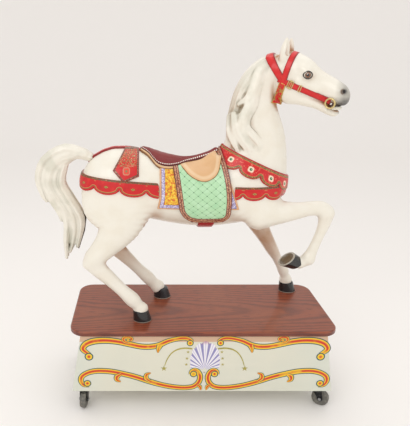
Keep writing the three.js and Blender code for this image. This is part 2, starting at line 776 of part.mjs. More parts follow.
// A strap round the body. `start` and `side` span its loop's plane; `across` is its width.
// Places along it are millimetres from the turn of 0 degrees, along the skin.
function strap(forms, { centre, start, side, across, turns, edges, steps, rows = 1, height }) {
  const spoke = (turn) =>
    start.clone().multiplyScalar(Math.cos(turn)).addScaledVector(side, Math.sin(turn));
  const fine = 72;
  const angles = [];
  const run = [0];
  let last = null;
  for (let i = 0; i <= fine; i++) {
    const turn = rad(lerp(turns[0], turns[1], i / fine));
    const p = meet(forms, centre, spoke(turn), 0);
    if (last) run.push(run[i - 1] + p.distanceTo(last));
    angles.push(turn);
    last = p;
  }
  const zero = angles.findIndex((a) => a >= 0);
  const offset = zero < 0 ? 0 : run[zero];
  const turnAt = (s) => {
    let i = 1;
    while (i < fine && run[i] < s) i++;
    const t = Math.min(Math.max((s - run[i - 1]) / (run[i] - run[i - 1]), 0), 1);
    return lerp(angles[i - 1], angles[i], t);
  };
  const line = (u, v) => {
    const s = u * run[fine];
    const [low, high] = edges(s - offset);
    return [centre.clone().addScaledVector(across, lerp(low, high, v)), spoke(turnAt(s))];
  };
  return laid(forms, line, steps, rows, height);
}

const X = new THREE.Vector3(1, 0, 0);
const Z = new THREE.Vector3(0, 0, 1);
const RIGHT = new THREE.Vector3(0, -1, 0);

// A scalloped edge: round lobes `pitch` long that hang `drop` below their cusps.
const scallop = (s, pitch, phase, drop) =>
  -drop * Math.sqrt(Math.max(0, 1 - (2 * Math.abs(((s + phase) / pitch) % 1) - 1) ** 2));

function sloped(degrees) {
  const a = rad(degrees);
  return {
    start: new THREE.Vector3(Math.cos(a), 0, Math.sin(a)),
    across: new THREE.Vector3(-Math.sin(a), 0, Math.cos(a)),
    side: RIGHT,
  };
}

// The breast band's lower edge hangs a little deeper towards the saddle.
function breastFoot(s) {
  return -10 - 12 * THREE.MathUtils.clamp((s - 60) / 250, 0, 1) + scallop(s, 84, 38, 27);
}

function breastBands(skin) {
  const breast = strap(skin, {
    ...sloped(-24.5),
    centre: new THREE.Vector3(195, 0, 680),
    turns: [-176, 176],
    edges: (s) => [breastFoot(Math.abs(s)), 24],
    steps: 96,
    rows: 2,
    height: RELIEF.band,
  });
  const girdle = strap(skin, {
    ...sloped(0),
    centre: new THREE.Vector3(170, 0, 588),
    turns: [-112, 112],
    edges: (s) => [-14 + scallop(Math.abs(s), 90, 75, 24), 18],
    steps: 60,
    rows: 2,
    height: RELIEF.band - 2,
  });
  return [breast, girdle];
}

function rumpBand(skin) {
  return strap(skin, {
    start: new THREE.Vector3(-0.996, 0, 0.087),
    across: new THREE.Vector3(0.087, 0, 0.996),
    side: RIGHT,
    centre: new THREE.Vector3(-300, 0, 605),
    turns: [-128, 128],
    edges: (s) => [-12 + scallop(Math.abs(s), 103, 60, 28), 22],
    steps: 96,
    rows: 2,
    height: RELIEF.band,
  });
}

const BARREL = { spokes: 590 };

// The turn from straight up, in degrees, at which a spoke meets the barrel at height z.

// The turn of the ray from the spokes' line that meets the skin at height z.
function turnAt(skin, x, z) {
  const origin = new THREE.Vector3(x, 0, BARREL.spokes);
  let [low, high] = [0, rad(176)];
  for (let i = 0; i < 12; i++) {
    const turn = (low + high) / 2;
    const spoke = new THREE.Vector3(0, -Math.sin(turn), Math.cos(turn));
    if (meet(skin, origin, spoke, 0).z > z) low = turn;
    else high = turn;
  }
  return (low + high) / 2;
}

// A sheet over the back: its two ends hang to `low`; its edges run along rear(z) and front(z).
function sheet(skin, { low, top, rear, front, nu, nv, height }) {
  const line = (u, v) => {
    const hang = Math.abs(2 * v - 1);
    const z = lerp(top, low, hang);
    const x = lerp(rear(z), front(z), u);
    const turn = turnAt(skin, x, z) * Math.min(1, hang * 8);
    const side = v < 0.5 ? 1 : -1;
    return [
      new THREE.Vector3(x, 0, BARREL.spokes),
      new THREE.Vector3(0, -side * Math.sin(turn), Math.cos(turn)),
    ];
  };
  return laid(skin, line, nu, nv, height);
}

function cornered(z, low, radius) {
  const up = Math.min(Math.max(low + radius - z, 0), radius);
  return radius - Math.sqrt(radius * radius - up * up);
}

const UNDERCLOTH = {
  low: 512,
  top: 740,
  rear: (z) => -192 - 8 * Math.max(0, (560 - z) / 40),
  front: (z) => 51 + 0.353 * (750 - z),
};
const QUILT = {
  low: 456,
  top: 735,
  rear: (z) => -139 + 0.17 * (678 - z) + cornered(z, 456, 66),
  front: (z) => 103 - 45 * Math.max(0, (z - 540) / 200) ** 2 - cornered(z, 456, 44),
};

function cloths(skin) {
  return [
    sheet(skin, { ...UNDERCLOTH, nu: 8, nv: 26, height: RELIEF.cloth }),
    sheet(skin, { ...QUILT, nu: 9, nv: 32, height: RELIEF.quilt }),
    strap(skin, {
      centre: new THREE.Vector3(7, 0, 545),
      start: Z,
      side: RIGHT,
      across: X,
      turns: [-180, 180],
      edges: () => [-33, 33],
      steps: 36,
      height: RELIEF.cloth,
    }),
  ];
}

// ---- The saddle ----
function between(rows, x) {
  let i = 1;
  while (i < rows.length - 1 && rows[i][0] < x) i++;
  const [a, b] = [rows[i - 1], rows[i]];
  const before = rows[Math.max(i - 2, 0)];
  const after = rows[Math.min(i + 1, rows.length - 1)];
  const wide = b[0] - a[0];
  const rise = ([x0, y0], [x1, y1]) => ((y1 - y0) / (x1 - x0)) * wide;
  const t = THREE.MathUtils.clamp((x - a[0]) / wide, 0, 1);
  const [t2, t3] = [t * t, t * t * t];
  const bend = (t3 - 2 * t2 + t) * rise(before, b) + (t3 - t2) * rise(a, after);
  return lerp(a[1], b[1], 3 * t2 - 2 * t3) + bend;
}

// Along the seat: how far its rim hangs round (degrees), how high the rim and its middle stand.
const SEAT_RIM = [[-272, 4], [-240, 17], [-202, 39], [-158, 43], [-114, 35], [-77, 21], [-22, 15],
  [40, 13], [72, 5]];
const SEAT_EDGE = [[-272, 12], [-200, 15], [-90, 18], [-20, 30], [40, 40], [72, 22]];
const SEAT_TOP = [[-272, 14], [-255, 20], [-220, 19], [-170, 19], [-110, 26], [-50, 38], [10, 54],
  [48, 60], [72, 28]];
const SEAT = { rear: -272, front: 72, roll: 5, skirt: 12 };
const FLAP = [[-150, 692], [-111, 677], [-76, 648], [-45, 633], [-12, 628], [26, 643], [49, 674],
  [56, 705]];

function saddle(skin) {
  const along = (u) => lerp(SEAT.rear, SEAT.front, u);
  const pad = (extra) => (u, v) => {
    const x = along(u);
    const turn = rad((between(SEAT_RIM, x) + extra) * (2 * v - 1));
    return [
      new THREE.Vector3(x, 0, BARREL.spokes),
      new THREE.Vector3(0, Math.sin(turn), Math.cos(turn)),
    ];
  };
  const rise = (u, v) => {
    const k = Math.abs(2 * v - 1);
    return lerp(between(SEAT_TOP, along(u)), between(SEAT_EDGE, along(u)), k ** 1.6);
  };
  const flap = (side) => (u, v) => {
    const x = lerp(FLAP[0][0], FLAP.at(-1)[0], u);
    const turn = lerp(rad(8), turnAt(skin, x, between(FLAP, x)), v) * side;
    return [
      new THREE.Vector3(x, 0, BARREL.spokes),
      new THREE.Vector3(0, -Math.sin(turn), Math.cos(turn)),
    ];
  };
  return [
    laid(skin, pad(0), 26, 10, rise),
    laid(skin, pad(SEAT.roll), 22, 8, () => SEAT.skirt),
    laid(skin, flap(1), 14, 6, RELIEF.flap),
    laid(skin, flap(-1), 14, 6, RELIEF.flap),
  ];
}

// The pendant's top and foot lines, each corner as [share along the line, x, z].
const PENDANT = {
  top: [[0, -336, 752], [1, -277, 748]],
  foot: [[0, -383, 667], [0.42, -340, 621], [1, -277, 644]],
};

// A place on a line of corners, at the share `u` of its length.
function onCorners(rows, u) {
  const i = rows.findIndex(([share], k) => k > 0 && u <= share);
  const [a, b] = [rows[i - 1], rows[i]];
  const t = (u - a[0]) / (b[0] - a[0]);
  return [lerp(a[1], b[1], t), lerp(a[2], b[2], t)];
}

function crupper(skin) {
  const ridge = strap(skin, {
    centre: new THREE.Vector3(-380, 0, 600),
    start: Z,
    side: new THREE.Vector3(-1, 0, 0),
    across: RIGHT,
    turns: [-50, 52],
    edges: () => [-15, 15],
    steps: 16,
    height: RELIEF.strap,
  });
  const pendant = (side) =>
    laid(
      skin,
      (u, v) => {
        const [topX, topZ] = onCorners(PENDANT.top, u);
        const [footX, footZ] = onCorners(PENDANT.foot, u);
        const [x, z] = [lerp(topX, footX, v), lerp(topZ, footZ, v)];
        const turn = turnAt(skin, x, z) * side;
        return [
          new THREE.Vector3(x, 0, BARREL.spokes),
          new THREE.Vector3(0, -Math.sin(turn), Math.cos(turn)),
        ];
      },
      7,
      6,
      RELIEF.pendant,
    );
  return [ridge, pendant(1), pendant(-1)];
}

// ---- The bridle ----
function headLoop(skin, [forward, up], [df, du], turns, half) {
  const tilt = (f, u) => {
    const [x, y] = onHead(f, 0, 0);
    return new THREE.Vector3(x - POLL.x, y - POLL.y, u);
  };
  const size = Math.hypot(df, du);
  return strap(skin, {
    centre: new THREE.Vector3(...onHead(forward, 0, up)),
    start: tilt(df / size, du / size),
    across: tilt(du / size, -df / size),
    side: HEAD_LEFT.clone().negate(),
    turns,
    edges: () => [-half, half],
    steps: 24,
    height: RELIEF.bridle,
  });
}

// A strap down the side of the head, from one [forward, up] to another.
function sideStrap(skin, [fromForward, fromUp], [toForward, toUp], half, steps) {
  const size = Math.hypot(toForward - fromForward, toUp - fromUp);
  const slope = [(fromUp - toUp) / size, (toForward - fromForward) / size];
  const line = (side) => (u, v) => {
    const w = lerp(-half, half, v);
    const forward = lerp(fromForward, toForward, u) + w * slope[0];
    const up = lerp(fromUp, toUp, u) + w * slope[1];
    return [
      new THREE.Vector3(...onHead(forward, 0, up)),
      HEAD_LEFT.clone().multiplyScalar(-side),
    ];
  };
  return [1, -1].map((side) => laid(skin, line(side), steps, 1, RELIEF.bridle));
}

function bridle(skin) {
  return [
    headLoop(skin, [26, 1056], [-0.537, 0.843], [-134, 134], 14),
    headLoop(skin, [64, 1060], [0.26, 0.966], [-134, 134], 12),
    ...sideStrap(skin, [32, 1028], [232, 946], 12, 12),
    ...sideStrap(skin, [52, 1016], [24, 930], 15, 6),
  ];
}

// ---- The horse and its tail ----
function bitRing() {
  const ring = new THREE.TorusGeometry(BIT.ring, BIT.wire, 5, 14);
  ring.rotateX(Math.PI / 2);
  return (side) =>
    solid(
      ring.clone().applyMatrix4(
        new THREE.Matrix4().makeRotationZ(HEAD_YAW + rad(BIT.flare) * side).setPosition(
          ...onHead(BIT.place[0], side * BIT.place[1], BIT.place[2]),
        ),
      ),
    );
}

function carvedHorse() {
  const [barrel, neck] = bodyForms();
  const near = nearFore();
  const shoulders = [barrel, neck, near[0], ...farFore()];
  const haunches = [barrel, nearHind()[0], farHind()[0]];
  const trunk = [barrel, neck, ...nearHind(), ...farHind(), ...farFore(), ...near];
  const head = [neck, ...skullForms()];
  const all = [...trunk, ...skullForms(), ...faceForms(), ...earForms(), ...maneForms()];
  const ring = bitRing();
  const parts = [
    ...breastBands(shoulders),
    rumpBand(haunches),
    ...cloths([barrel, neck, near[0], farFore()[0]]),
    ...saddle([barrel]),
    ...crupper(haunches),
    ...bridle(head),
  ];
  let body = sculpt(all);
  for (const part of parts) body = body.add(part);
  body = solid(thinned(body, HORSE_FACES, horseCare));
  const hooves = [...HOOVES.map(([x, y]) => standingHoof(x, y)), liftedHoof()];
  for (const part of [...hooves, ring(-1), ring(1)]) body = body.add(part);
  return body;
}

// Cuts a body back from its neighbour, with the small gap that pieces keep.
const CLEAR = 0.4;
const CLEAR_WAYS = [[-1, 0, 0], [1, 0, 0], [0, 1, 0], [0, -1, 0], [0, 0, 1], [0, 0, -1]];

function clearOf(body, neighbour) {
  for (const way of CLEAR_WAYS)
    body = body.subtract(neighbour.translate(way.map((v) => v * CLEAR)));
  return largest(body);
}

// Keeps the one connected lump with the most faces and drops loose crumbs.
function largest(body) {
  const { vertProperties, triVerts } = body.getMesh();
  const parent = Array.from({ length: vertProperties.length / 3 }, (_, i) => i);
  const find = (v) => {
    while (parent[v] !== v) v = parent[v] = parent[parent[v]];
    return v;
  };
  for (let i = 0; i < triVerts.length; i += 3) {
    parent[find(triVerts[i + 1])] = find(triVerts[i]);
    parent[find(triVerts[i + 2])] = find(triVerts[i]);
  }
  const lumps = new Map();
  for (let i = 0; i < triVerts.length; i += 3) {
    const lump = find(triVerts[i]);
    if (!lumps.has(lump)) lumps.set(lump, []);
    lumps.get(lump).push(triVerts[i], triVerts[i + 1], triVerts[i + 2]);
  }
  const main = [...lumps.values()].sort((p, q) => q.length - p.length)[0];
  const geometry = new THREE.BufferGeometry();
  geometry.setAttribute("position", new THREE.BufferAttribute(vertProperties, 3));
  geometry.setIndex(main);
  return solid(geometry.toNonIndexed());
}

// The tail is a separate carving, set against the rump.
function carvedTail(horseBody) {
  const tail = solid(thinned(sculpt(tailForms()), TAIL_FACES, () => 1));
  return clearOf(tail, horseBody);
}

// An iron stay: a strap bent along the tail's inner edge, with a bar forward to the haunches.
function tailStay(horseBody, tailBody) {
  const bar = ([ax, az], [bx, bz], wide, thick) => {
    const length = Math.hypot(bx - ax, bz - az);
    const geometry = new THREE.BoxGeometry(length, wide, thick);
    geometry.rotateY(-Math.atan2(bz - az, bx - ax));
    geometry.translate((ax + bx) / 2, 0, (az + bz) / 2);
    return solid(geometry);
  };
  const { strapTop, bend, foot, haunch, wide, thick } = STAY;
  let body = bar(strapTop, bend, wide, thick).add(bar(bend, foot, wide, thick));
  body = body.add(bar(strapTop, haunch, wide, thick * 2));
  const bolt = new THREE.CylinderGeometry(STAY.bolt, STAY.bolt, STAY.boltLong, 8);
  bolt.rotateZ(Math.PI / 2);
  bolt.translate(haunch[0] - 16, 0, haunch[1] + 3);
  body = body.add(solid(bolt));
  return clearOf(clearOf(body, horseBody), tailBody);
}

// ---- The stand ----
function roundedBoard() {
  const { length, depth, thick, corner, round } = BOARD;
  const [hx, hy] = [length / 2 - round, depth / 2 - round];
  const r = corner - round;
  const outline = new THREE.Shape();
  outline.moveTo(-hx + r, -hy);
  outline.lineTo(hx - r, -hy);
  outline.absarc(hx - r, -hy + r, r, -Math.PI / 2, 0);
  outline.absarc(hx - r, hy - r, r, 0, Math.PI / 2);
  outline.absarc(-hx + r, hy - r, r, Math.PI / 2, Math.PI);
  outline.absarc(-hx + r, -hy + r, r, Math.PI, 1.5 * Math.PI);
  const geometry = new THREE.ExtrudeGeometry(outline, {
    depth: thick - 2 * round,
    bevelThickness: round,
    bevelSize: round,
    bevelSegments: 1,
    curveSegments: 4,
  });
  geometry.translate(0, 0, round - thick);
  return solid(geometry);
}

// Half the box's length at height z: its ends splay outwards to the foot.
function boxHalf(z) {
  return lerp(BOX.topHalf, BOX.footHalf, (-BOARD.thick - z) / BOX.height);
}

const BOX_TOP = -BOARD.thick - GAP;
const BOX_FOOT = -BOARD.thick - BOX.height;

function longPanel(side) {
  const [top, foot] = [boxHalf(BOX_TOP), BOX.footHalf];
  const outline = new THREE.Shape();
  outline.moveTo(-foot, BOX_FOOT);
  outline.lineTo(foot, BOX_FOOT);
  outline.lineTo(top, BOX_TOP);
  outline.lineTo(-top, BOX_TOP);
  outline.closePath();
  const geometry = new THREE.ExtrudeGeometry(outline, { depth: BOX.wall, bevelEnabled: false });
  geometry.rotateX(Math.PI / 2);
  geometry.translate(0, side > 0 ? BOX.depth / 2 : BOX.wall - BOX.depth / 2, 0);
  return geometry;
}

// A sloping end, set between the long panels.
function endPanel(side) {
  const [top, foot] = [boxHalf(BOX_TOP), BOX.footHalf];
  const outline = new THREE.Shape();
  outline.moveTo(foot, BOX_FOOT);
  outline.lineTo(top, BOX_TOP);
  outline.lineTo(top - BOX.wall, BOX_TOP);
  outline.lineTo(foot - BOX.wall, BOX_FOOT);
  outline.closePath();
  const inner = BOX.depth - 2 * (BOX.wall + GAP);
  const geometry = new THREE.ExtrudeGeometry(outline, { depth: inner, bevelEnabled: false });
  geometry.rotateX(Math.PI / 2);
  geometry.translate(0, inner / 2, 0);
  if (side < 0) geometry.rotateZ(Math.PI);
  return geometry;
}

function boxBottom() {
  const half = BOX.footHalf - BOX.wall - 3;
  const geometry = new THREE.BoxGeometry(2 * half, BOX.depth - 2 * (BOX.wall + GAP), BOX.floor);
  return geometry.translate(0, 0, BOX_FOOT + BOX.floor / 2);
}

// ---- Casters, each in its own frame: the swivel's line is Z, the floor is z = 0 ----
function rod(radius, low, high, sides) {
  const geometry = new THREE.CylinderGeometry(radius, radius, high - low, sides);
  geometry.rotateX(Math.PI / 2);
  return solid(geometry.translate(0, 0, (low + high) / 2));
}

const PLATE_TOP = CASTER.height - GAP;
const PLATE_FOOT = PLATE_TOP - CASTER.plate;
const CROWN_TOP = PLATE_FOOT - PIN.bossHigh - GAP;
const CROWN_FOOT = CROWN_TOP - FORK.crownThick;

function casterPlate() {
  const plate = new THREE.BoxGeometry(CASTER.plateX, CASTER.plateY, CASTER.plate);
  const headTop = CROWN_FOOT - GAP;
  return solid(plate.translate(0, 0, PLATE_FOOT + CASTER.plate / 2))
    .add(rod(PIN.boss, CROWN_TOP + GAP, PLATE_FOOT + 1, FORK.sides))
    .add(rod(PIN.radius, headTop - 1, PLATE_FOOT + 1, PIN.sides))
    .add(rod(PIN.head, headTop - PIN.headThick, headTop, PIN.sides));
}

function casterFork() {
  const { thick, inside, crown, foot } = FORK;
  const leg = new THREE.Shape();
  leg.moveTo(-crown * 0.75, CROWN_TOP);
  leg.lineTo(CASTER.trail - foot, WHEEL.radius + 4);
  leg.absarc(CASTER.trail, WHEEL.radius, foot, Math.PI, 2 * Math.PI);
  leg.lineTo(crown * 1.25, CROWN_TOP);
  leg.closePath();
  const side = (y) => {
    const geometry = new THREE.ExtrudeGeometry(leg, {
      depth: thick,
      bevelEnabled: false,
      curveSegments: 4,
    });
    geometry.rotateX(Math.PI / 2);
    return solid(geometry.translate(0, y, 0));
  };
  const bore = new THREE.CylinderGeometry(WHEEL.bore, WHEEL.bore, inside * 2, PIN.sides);
  bore.translate(CASTER.trail, 0, WHEEL.radius);
  const bridge = new THREE.BoxGeometry(crown * 2, inside + 2 * thick, FORK.crownThick);
  bridge.translate(crown * 0.25, 0, CROWN_TOP - FORK.crownThick / 2);
  return rod(crown, CROWN_FOOT, CROWN_TOP, FORK.sides)
    .add(solid(bridge))
    .add(side(inside / 2 + thick))
    .add(side(-inside / 2))
    .subtract(solid(bore))
    .subtract(rod(PIN.radius + 0.5, CROWN_FOOT - 1, CROWN_TOP + 1, PIN.sides));
}

// A rubber tyre on its hub, bored for the axle.
function casterWheel() {
  const { radius, width, rim, inset, bore, shoulder, sides } = WHEEL;
  const half = width / 2;
  const profile = [
    [bore, -half + inset], [rim, -half + inset], [radius - shoulder, -half],
    [radius, -half + shoulder],
  ];
  const ring = [...profile, ...profile.map(([r, y]) => [r, -y]).reverse(), profile[0]];
  return new THREE.LatheGeometry(ring.map(([r, y]) => new THREE.Vector2(r, y)), sides);
}

// The axle bolt: a shank with a head at each end.
function casterAxle() {
  const half = FORK.inside / 2 + FORK.thick + GAP;
  const { radius, head, headThick } = AXLE;
  const profile = [
    [0, -half - headThick], [head, -half - headThick], [head, -half], [radius, -half],
    [radius, half], [head, half], [head, half + headThick], [0, half + headThick],
  ];
  return new THREE.LatheGeometry(profile.map(([r, y]) => new THREE.Vector2(r, y)), 8);
}

function caster(name, x, y, turn) {
  const group = new THREE.Group();
  group.position.set(x, y, 0);
  group.add(piece(`caster_${name}_plate`, geometryOf(casterPlate()), BLACK));
  const swivel = new THREE.Group();
  swivel.rotation.z = rad(turn);
  swivel.add(piece(`caster_${name}_fork`, geometryOf(casterFork()), BLACK));
  const axle = piece(`caster_${name}_axle`, casterAxle(), STEEL);
  const wheel = piece(`caster_${name}_wheel`, casterWheel(), RUBBER);
  for (const mesh of [axle, wheel]) {
    mesh.position.set(CASTER.trail, 0, WHEEL.radius);
    swivel.add(mesh);
  }
  group.add(swivel);
  return group;
}

// ---- Everything together ----
function onPlatform() {
  const group = new THREE.Group();
  const horseBody = carvedHorse();
  const tailBody = carvedTail(horseBody);
  group.add(piece("horse", geometryOf(horseBody), WHITE));
  group.add(piece("tail", geometryOf(tailBody), HAIR));
  group.add(piece("tail_stay", geometryOf(tailStay(horseBody, tailBody)), IRON));
  group.add(piece("platform_board", geometryOf(roundedBoard()), OAK));
  group.add(piece("box_front", longPanel(-1), CREAM));
  group.add(piece("box_back", longPanel(1), CREAM));
  group.add(piece("box_left_end", endPanel(-1), CREAM));
  group.add(piece("box_right_end", endPanel(1), CREAM));
  group.add(piece("box_bottom", boxBottom(), CREAM));
  group.position.z = CASTER.height + BOX.height + BOARD.thick;
  return group;
}

const root = new THREE.Group();
root.add(onPlatform());
root.add(caster("fl", -CASTER.x, -CASTER.y, SWIVELS.fl));
root.add(caster("fr", CASTER.x, -CASTER.y, SWIVELS.fr));
root.add(caster("bl", -CASTER.x, CASTER.y, SWIVELS.bl));
root.add(caster("br", CASTER.x, CASTER.y, SWIVELS.br));

// The origin is on the floor, under the middle of the whole object.
root.updateMatrixWorld(true);
const middle = new THREE.Box3().setFromObject(root, true).getCenter(new THREE.Vector3());
root.position.set(-middle.x, -middle.y, 0);

export default root;
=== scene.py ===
# %% [markdown]
# # A carousel horse on its wheeled stand
# The horse is a carved and painted fairground mount. Its saddle, cloths and scalloped bands are carved
# in one with the body. It stands on an oak board over a cream box with painted scrolls and four casters.
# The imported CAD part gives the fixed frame, and every place below is read from it.

# %%
import math
import bpy
import numpy as np
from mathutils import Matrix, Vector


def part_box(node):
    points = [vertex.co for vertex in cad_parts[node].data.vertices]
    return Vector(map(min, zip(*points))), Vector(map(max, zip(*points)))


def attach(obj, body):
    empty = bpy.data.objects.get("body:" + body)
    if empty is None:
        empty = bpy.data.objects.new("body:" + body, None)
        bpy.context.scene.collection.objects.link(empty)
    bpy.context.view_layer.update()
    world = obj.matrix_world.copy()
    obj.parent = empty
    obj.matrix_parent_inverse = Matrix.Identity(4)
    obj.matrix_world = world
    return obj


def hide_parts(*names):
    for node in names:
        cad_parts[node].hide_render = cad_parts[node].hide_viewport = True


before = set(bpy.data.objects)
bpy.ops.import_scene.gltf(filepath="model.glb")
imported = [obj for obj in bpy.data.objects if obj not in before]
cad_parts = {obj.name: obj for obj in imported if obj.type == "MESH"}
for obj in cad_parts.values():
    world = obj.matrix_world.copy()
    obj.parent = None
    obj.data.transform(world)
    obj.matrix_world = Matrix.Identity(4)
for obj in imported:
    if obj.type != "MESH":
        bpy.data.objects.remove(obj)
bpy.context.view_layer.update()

import openvdb
from mathutils import Vector

# %% [markdown]
# ## One frame for all the carving
# The horse is laid out in millimetres from the middle of the platform's top, as a carver would measure it
# from the bench. `metres` turns those places into the part's own frame.

# %%
def corners(node):
    """The lowest and highest corner of a CAD node, as two vectors."""
    lo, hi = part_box(node)
    return Vector(lo), Vector(hi)

BOARD_LOW, BOARD_HIGH = corners("platform_board")
MIDDLE = np.array([(BOARD_LOW.x + BOARD_HIGH.x) / 2, 0.0, BOARD_HIGH.z])

def metres(points):
    return np.asarray(points, dtype=float) / 1000 + MIDDLE

print("middle of the platform's top", MIDDLE.round(4))

# %% [markdown]
# ## Forms that melt together
# A form is a chain of oval sections, `[x, y, z, half width, half depth]`, flowed into each other with a
# smooth curve through its stations. Forms melt together over `blend` millimetres, the way putty and
# sandpaper soften the joints between glued blocks. A `Field` is a lattice of distances to the melted
# surface: negative inside, positive outside.

# %%
FAR = 400.0
OUTSIDE = 30.0
SIDEWAYS = np.array([0.0, 1.0, 0.0])

def flow(rows, steps=3):
    """A smooth curve through the stations."""
    rows = np.asarray(rows, dtype=float)
    last = len(rows) - 1
    out = []
    for i in range(last):
        a, b, c, d = rows[max(i - 1, 0)], rows[i], rows[i + 1], rows[min(i + 2, last)]
        for t in np.arange(steps) / steps:
            bend = 2 * a - 5 * b + 4 * c - d
            out.append(b + 0.5 * t * (c - a + t * (bend + t * (3 * (b - c) + d - a))))
    return out + [rows[last]]

def section(start, end, across, tip=None):
    w = end[:3] - start[:3]
    length = np.linalg.norm(w)
    w = w / length
    u = across - across.dot(w) * w
    u = u / np.linalg.norm(u)
    widest = max(start[3], start[4], end[3], end[4], tip or 0)
    low = np.minimum(start[:3], end[:3]) - widest
    high = np.maximum(start[:3], end[:3]) + widest
    return dict(a=start, b=end, w=w, u=u, v=np.cross(w, u), length=length, tip=tip, low=low, high=high)

def form(sections, blend=24, carve=False, grooves=None):
    low = np.min([s["low"] for s in sections], axis=0)
    high = np.max([s["high"] for s in sections], axis=0)
    return dict(sections=sections, blend=blend, carve=carve, grooves=grooves, low=low, high=high)

def chain(rows, across=SIDEWAYS, **options):
    flowed = flow(rows)
    return form([section(p, q, across) for p, q in zip(flowed, flowed[1:])], **options)

def egg(centre, size, tilt=0.0, yaw=0.0, across=SIDEWAYS, **options):
    """An egg of half sizes [wide, long, tall], its nose tilted up and turned."""
    wide, long, tall = size
    w = np.array([math.cos(tilt) * math.cos(yaw), math.cos(tilt) * math.sin(yaw), math.sin(tilt)])
    start = np.array([*centre, wide, tall], dtype=float)
    end = start.copy()
    end[:3] += w * 0.01
    return form([section(start, end, across, tip=long)], **options)

def reach(s, x, y, z, grooves):
    """How far the points of a block lie from one oval section."""
    a, b = s["a"], s["b"]
    dx, dy, dz = x - a[0], y - a[1], z - a[2]
    along = dx * s["w"][0] + dy * s["w"][1] + dz * s["w"][2]
    t = np.clip(along / s["length"], 0, 1)
    ru = a[3] + (b[3] - a[3]) * t
    rv = a[4] + (b[4] - a[4]) * t
    rw = s["tip"] or np.minimum(ru, rv)
    du = (dx * s["u"][0] + dy * s["u"][1] + dz * s["u"][2]) / ru
    dv = (dx * s["v"][0] + dy * s["v"][1] + dz * s["v"][2]) / rv
    dw = (along - t * s["length"]) / rw
    size = np.sqrt(du * du + dv * dv + dw * dw)
    slope = np.sqrt((du / ru) ** 2 + (dv / rv) ** 2 + (dw / rw) ** 2) + 1e-6
    out = size * (size - 1) / slope
    if grooves:
        count, depth = grooves
        out += depth * np.cos(count * np.arctan2(dv, du)) * np.clip(size, 0, 1)
    return out

print("three stations flow into", len(flow(np.eye(3))), "points")

# %% [markdown]
# ## A lattice of distances
# Every form is melted into a lattice, the distances between its points are read smoothly, and the level
# of zero becomes quads. Two settling steps bring those onto the exact surface.

# %%
class Field:
    """A lattice of distances to a set of forms."""

    def __init__(self, forms, cell, margin=20.0):
        solid = [f for f in forms if not f["carve"]]
        room = max(3 * cell, margin - 10)
        self.low = np.min([f["low"] for f in solid], axis=0) - room
        top = np.max([f["high"] for f in solid], axis=0) + room
        self.cell, self.margin = cell, margin
        self.n = np.ceil((top - self.low) / cell).astype(int) + 1
        self.axes = [(self.low[k] + cell * np.arange(self.n[k])).astype(np.float32) for k in range(3)]
        self.values = np.full(self.n, FAR, dtype=np.float32)
        for f in forms:
            self.melt(f)

    def span(self, low, high, pad):
        i = np.clip(np.floor((low - pad - self.low) / self.cell).astype(int), 0, self.n)
        j = np.clip(np.ceil((high + pad - self.low) / self.cell).astype(int) + 1, 0, self.n)
        return i, j

    def melt(self, f):
        pad = f["blend"] + self.margin
        i, j = self.span(f["low"], f["high"], pad)
        if np.any(j <= i):
            return
        e = np.full(j - i, FAR, dtype=np.float32)
        for s in f["sections"]:
            p, q = self.span(s["low"], s["high"], pad)
            if np.any(q <= p):
                continue
            x, y, z = [self.axes[k][p[k]:q[k]] for k in range(3)]
            block = reach(s, x[:, None, None], y[None, :, None], z[None, None, :], f["grooves"])
            p, q = p - i, q - i
            part = e[p[0]:q[0], p[1]:q[1], p[2]:q[2]]
            np.minimum(part, block, out=part)
        part = self.values[i[0]:j[0], i[1]:j[1], i[2]:j[2]]
        if f["carve"]:
            e = -e
        h = np.clip(f["blend"] - np.abs(part - e), 0, None) / f["blend"]
        soft = h * h * f["blend"] / 4
        part[...] = np.maximum(part, e) + soft if f["carve"] else np.minimum(part, e) - soft

    def at(self, points):
        """The distance at any points, read between the lattice's own."""
        q = (np.asarray(points) - self.low) / self.cell
        outside = np.any((q < 0) | (q > self.n - 1.001), axis=-1)
        q = np.clip(q, 0, self.n - 1.001)
        i = q.astype(int)
        t = q - i
        total = 0
        for c in range(8):
            bits = np.array([c & 1, (c >> 1) & 1, (c >> 2) & 1])
            weight = np.prod(np.where(bits, t, 1 - t), axis=-1)
            k = i + bits
            total = total + weight * self.values[k[..., 0], k[..., 1], k[..., 2]]
        return np.where(outside, max(OUTSIDE, self.margin), total)

    def normal(self, points, e=None):
        e = e or self.cell
        points = np.asarray(points)
        n = np.stack([self.at(points + e * d) - self.at(points - e * d) for d in np.eye(3)], axis=-1)
        return n / (np.linalg.norm(n, axis=-1, keepdims=True) + 1e-9)

    def surface(self):
        """The surface as points, quads and triangles."""
        grid = openvdb.FloatGrid(FAR)
        grid.copyFromArray(self.values)
        points, tris, quads = grid.convertToPolygons(0.0, 0.0)
        points = points * self.cell + self.low
        for _ in range(2):
            points = points - self.normal(points) * np.clip(self.at(points), -2, 2)[:, None]
        return points, [f for f in (quads, tris) if len(f)]

trial = Field([egg([0, 0, 0], [20, 20, 20])], 4.0)
print("5 mm outside a 20 mm ball the lattice reads", round(float(trial.at(np.array([25.0, 0, 0]))), 1))

# %% [markdown]
# ## The body, the neck and the legs
# The same stations as the solids: the barrel and neck, four legs with their hocks, knees and pasterns.
# The near foreleg is lifted and folded. The horse's right side faces the viewer.

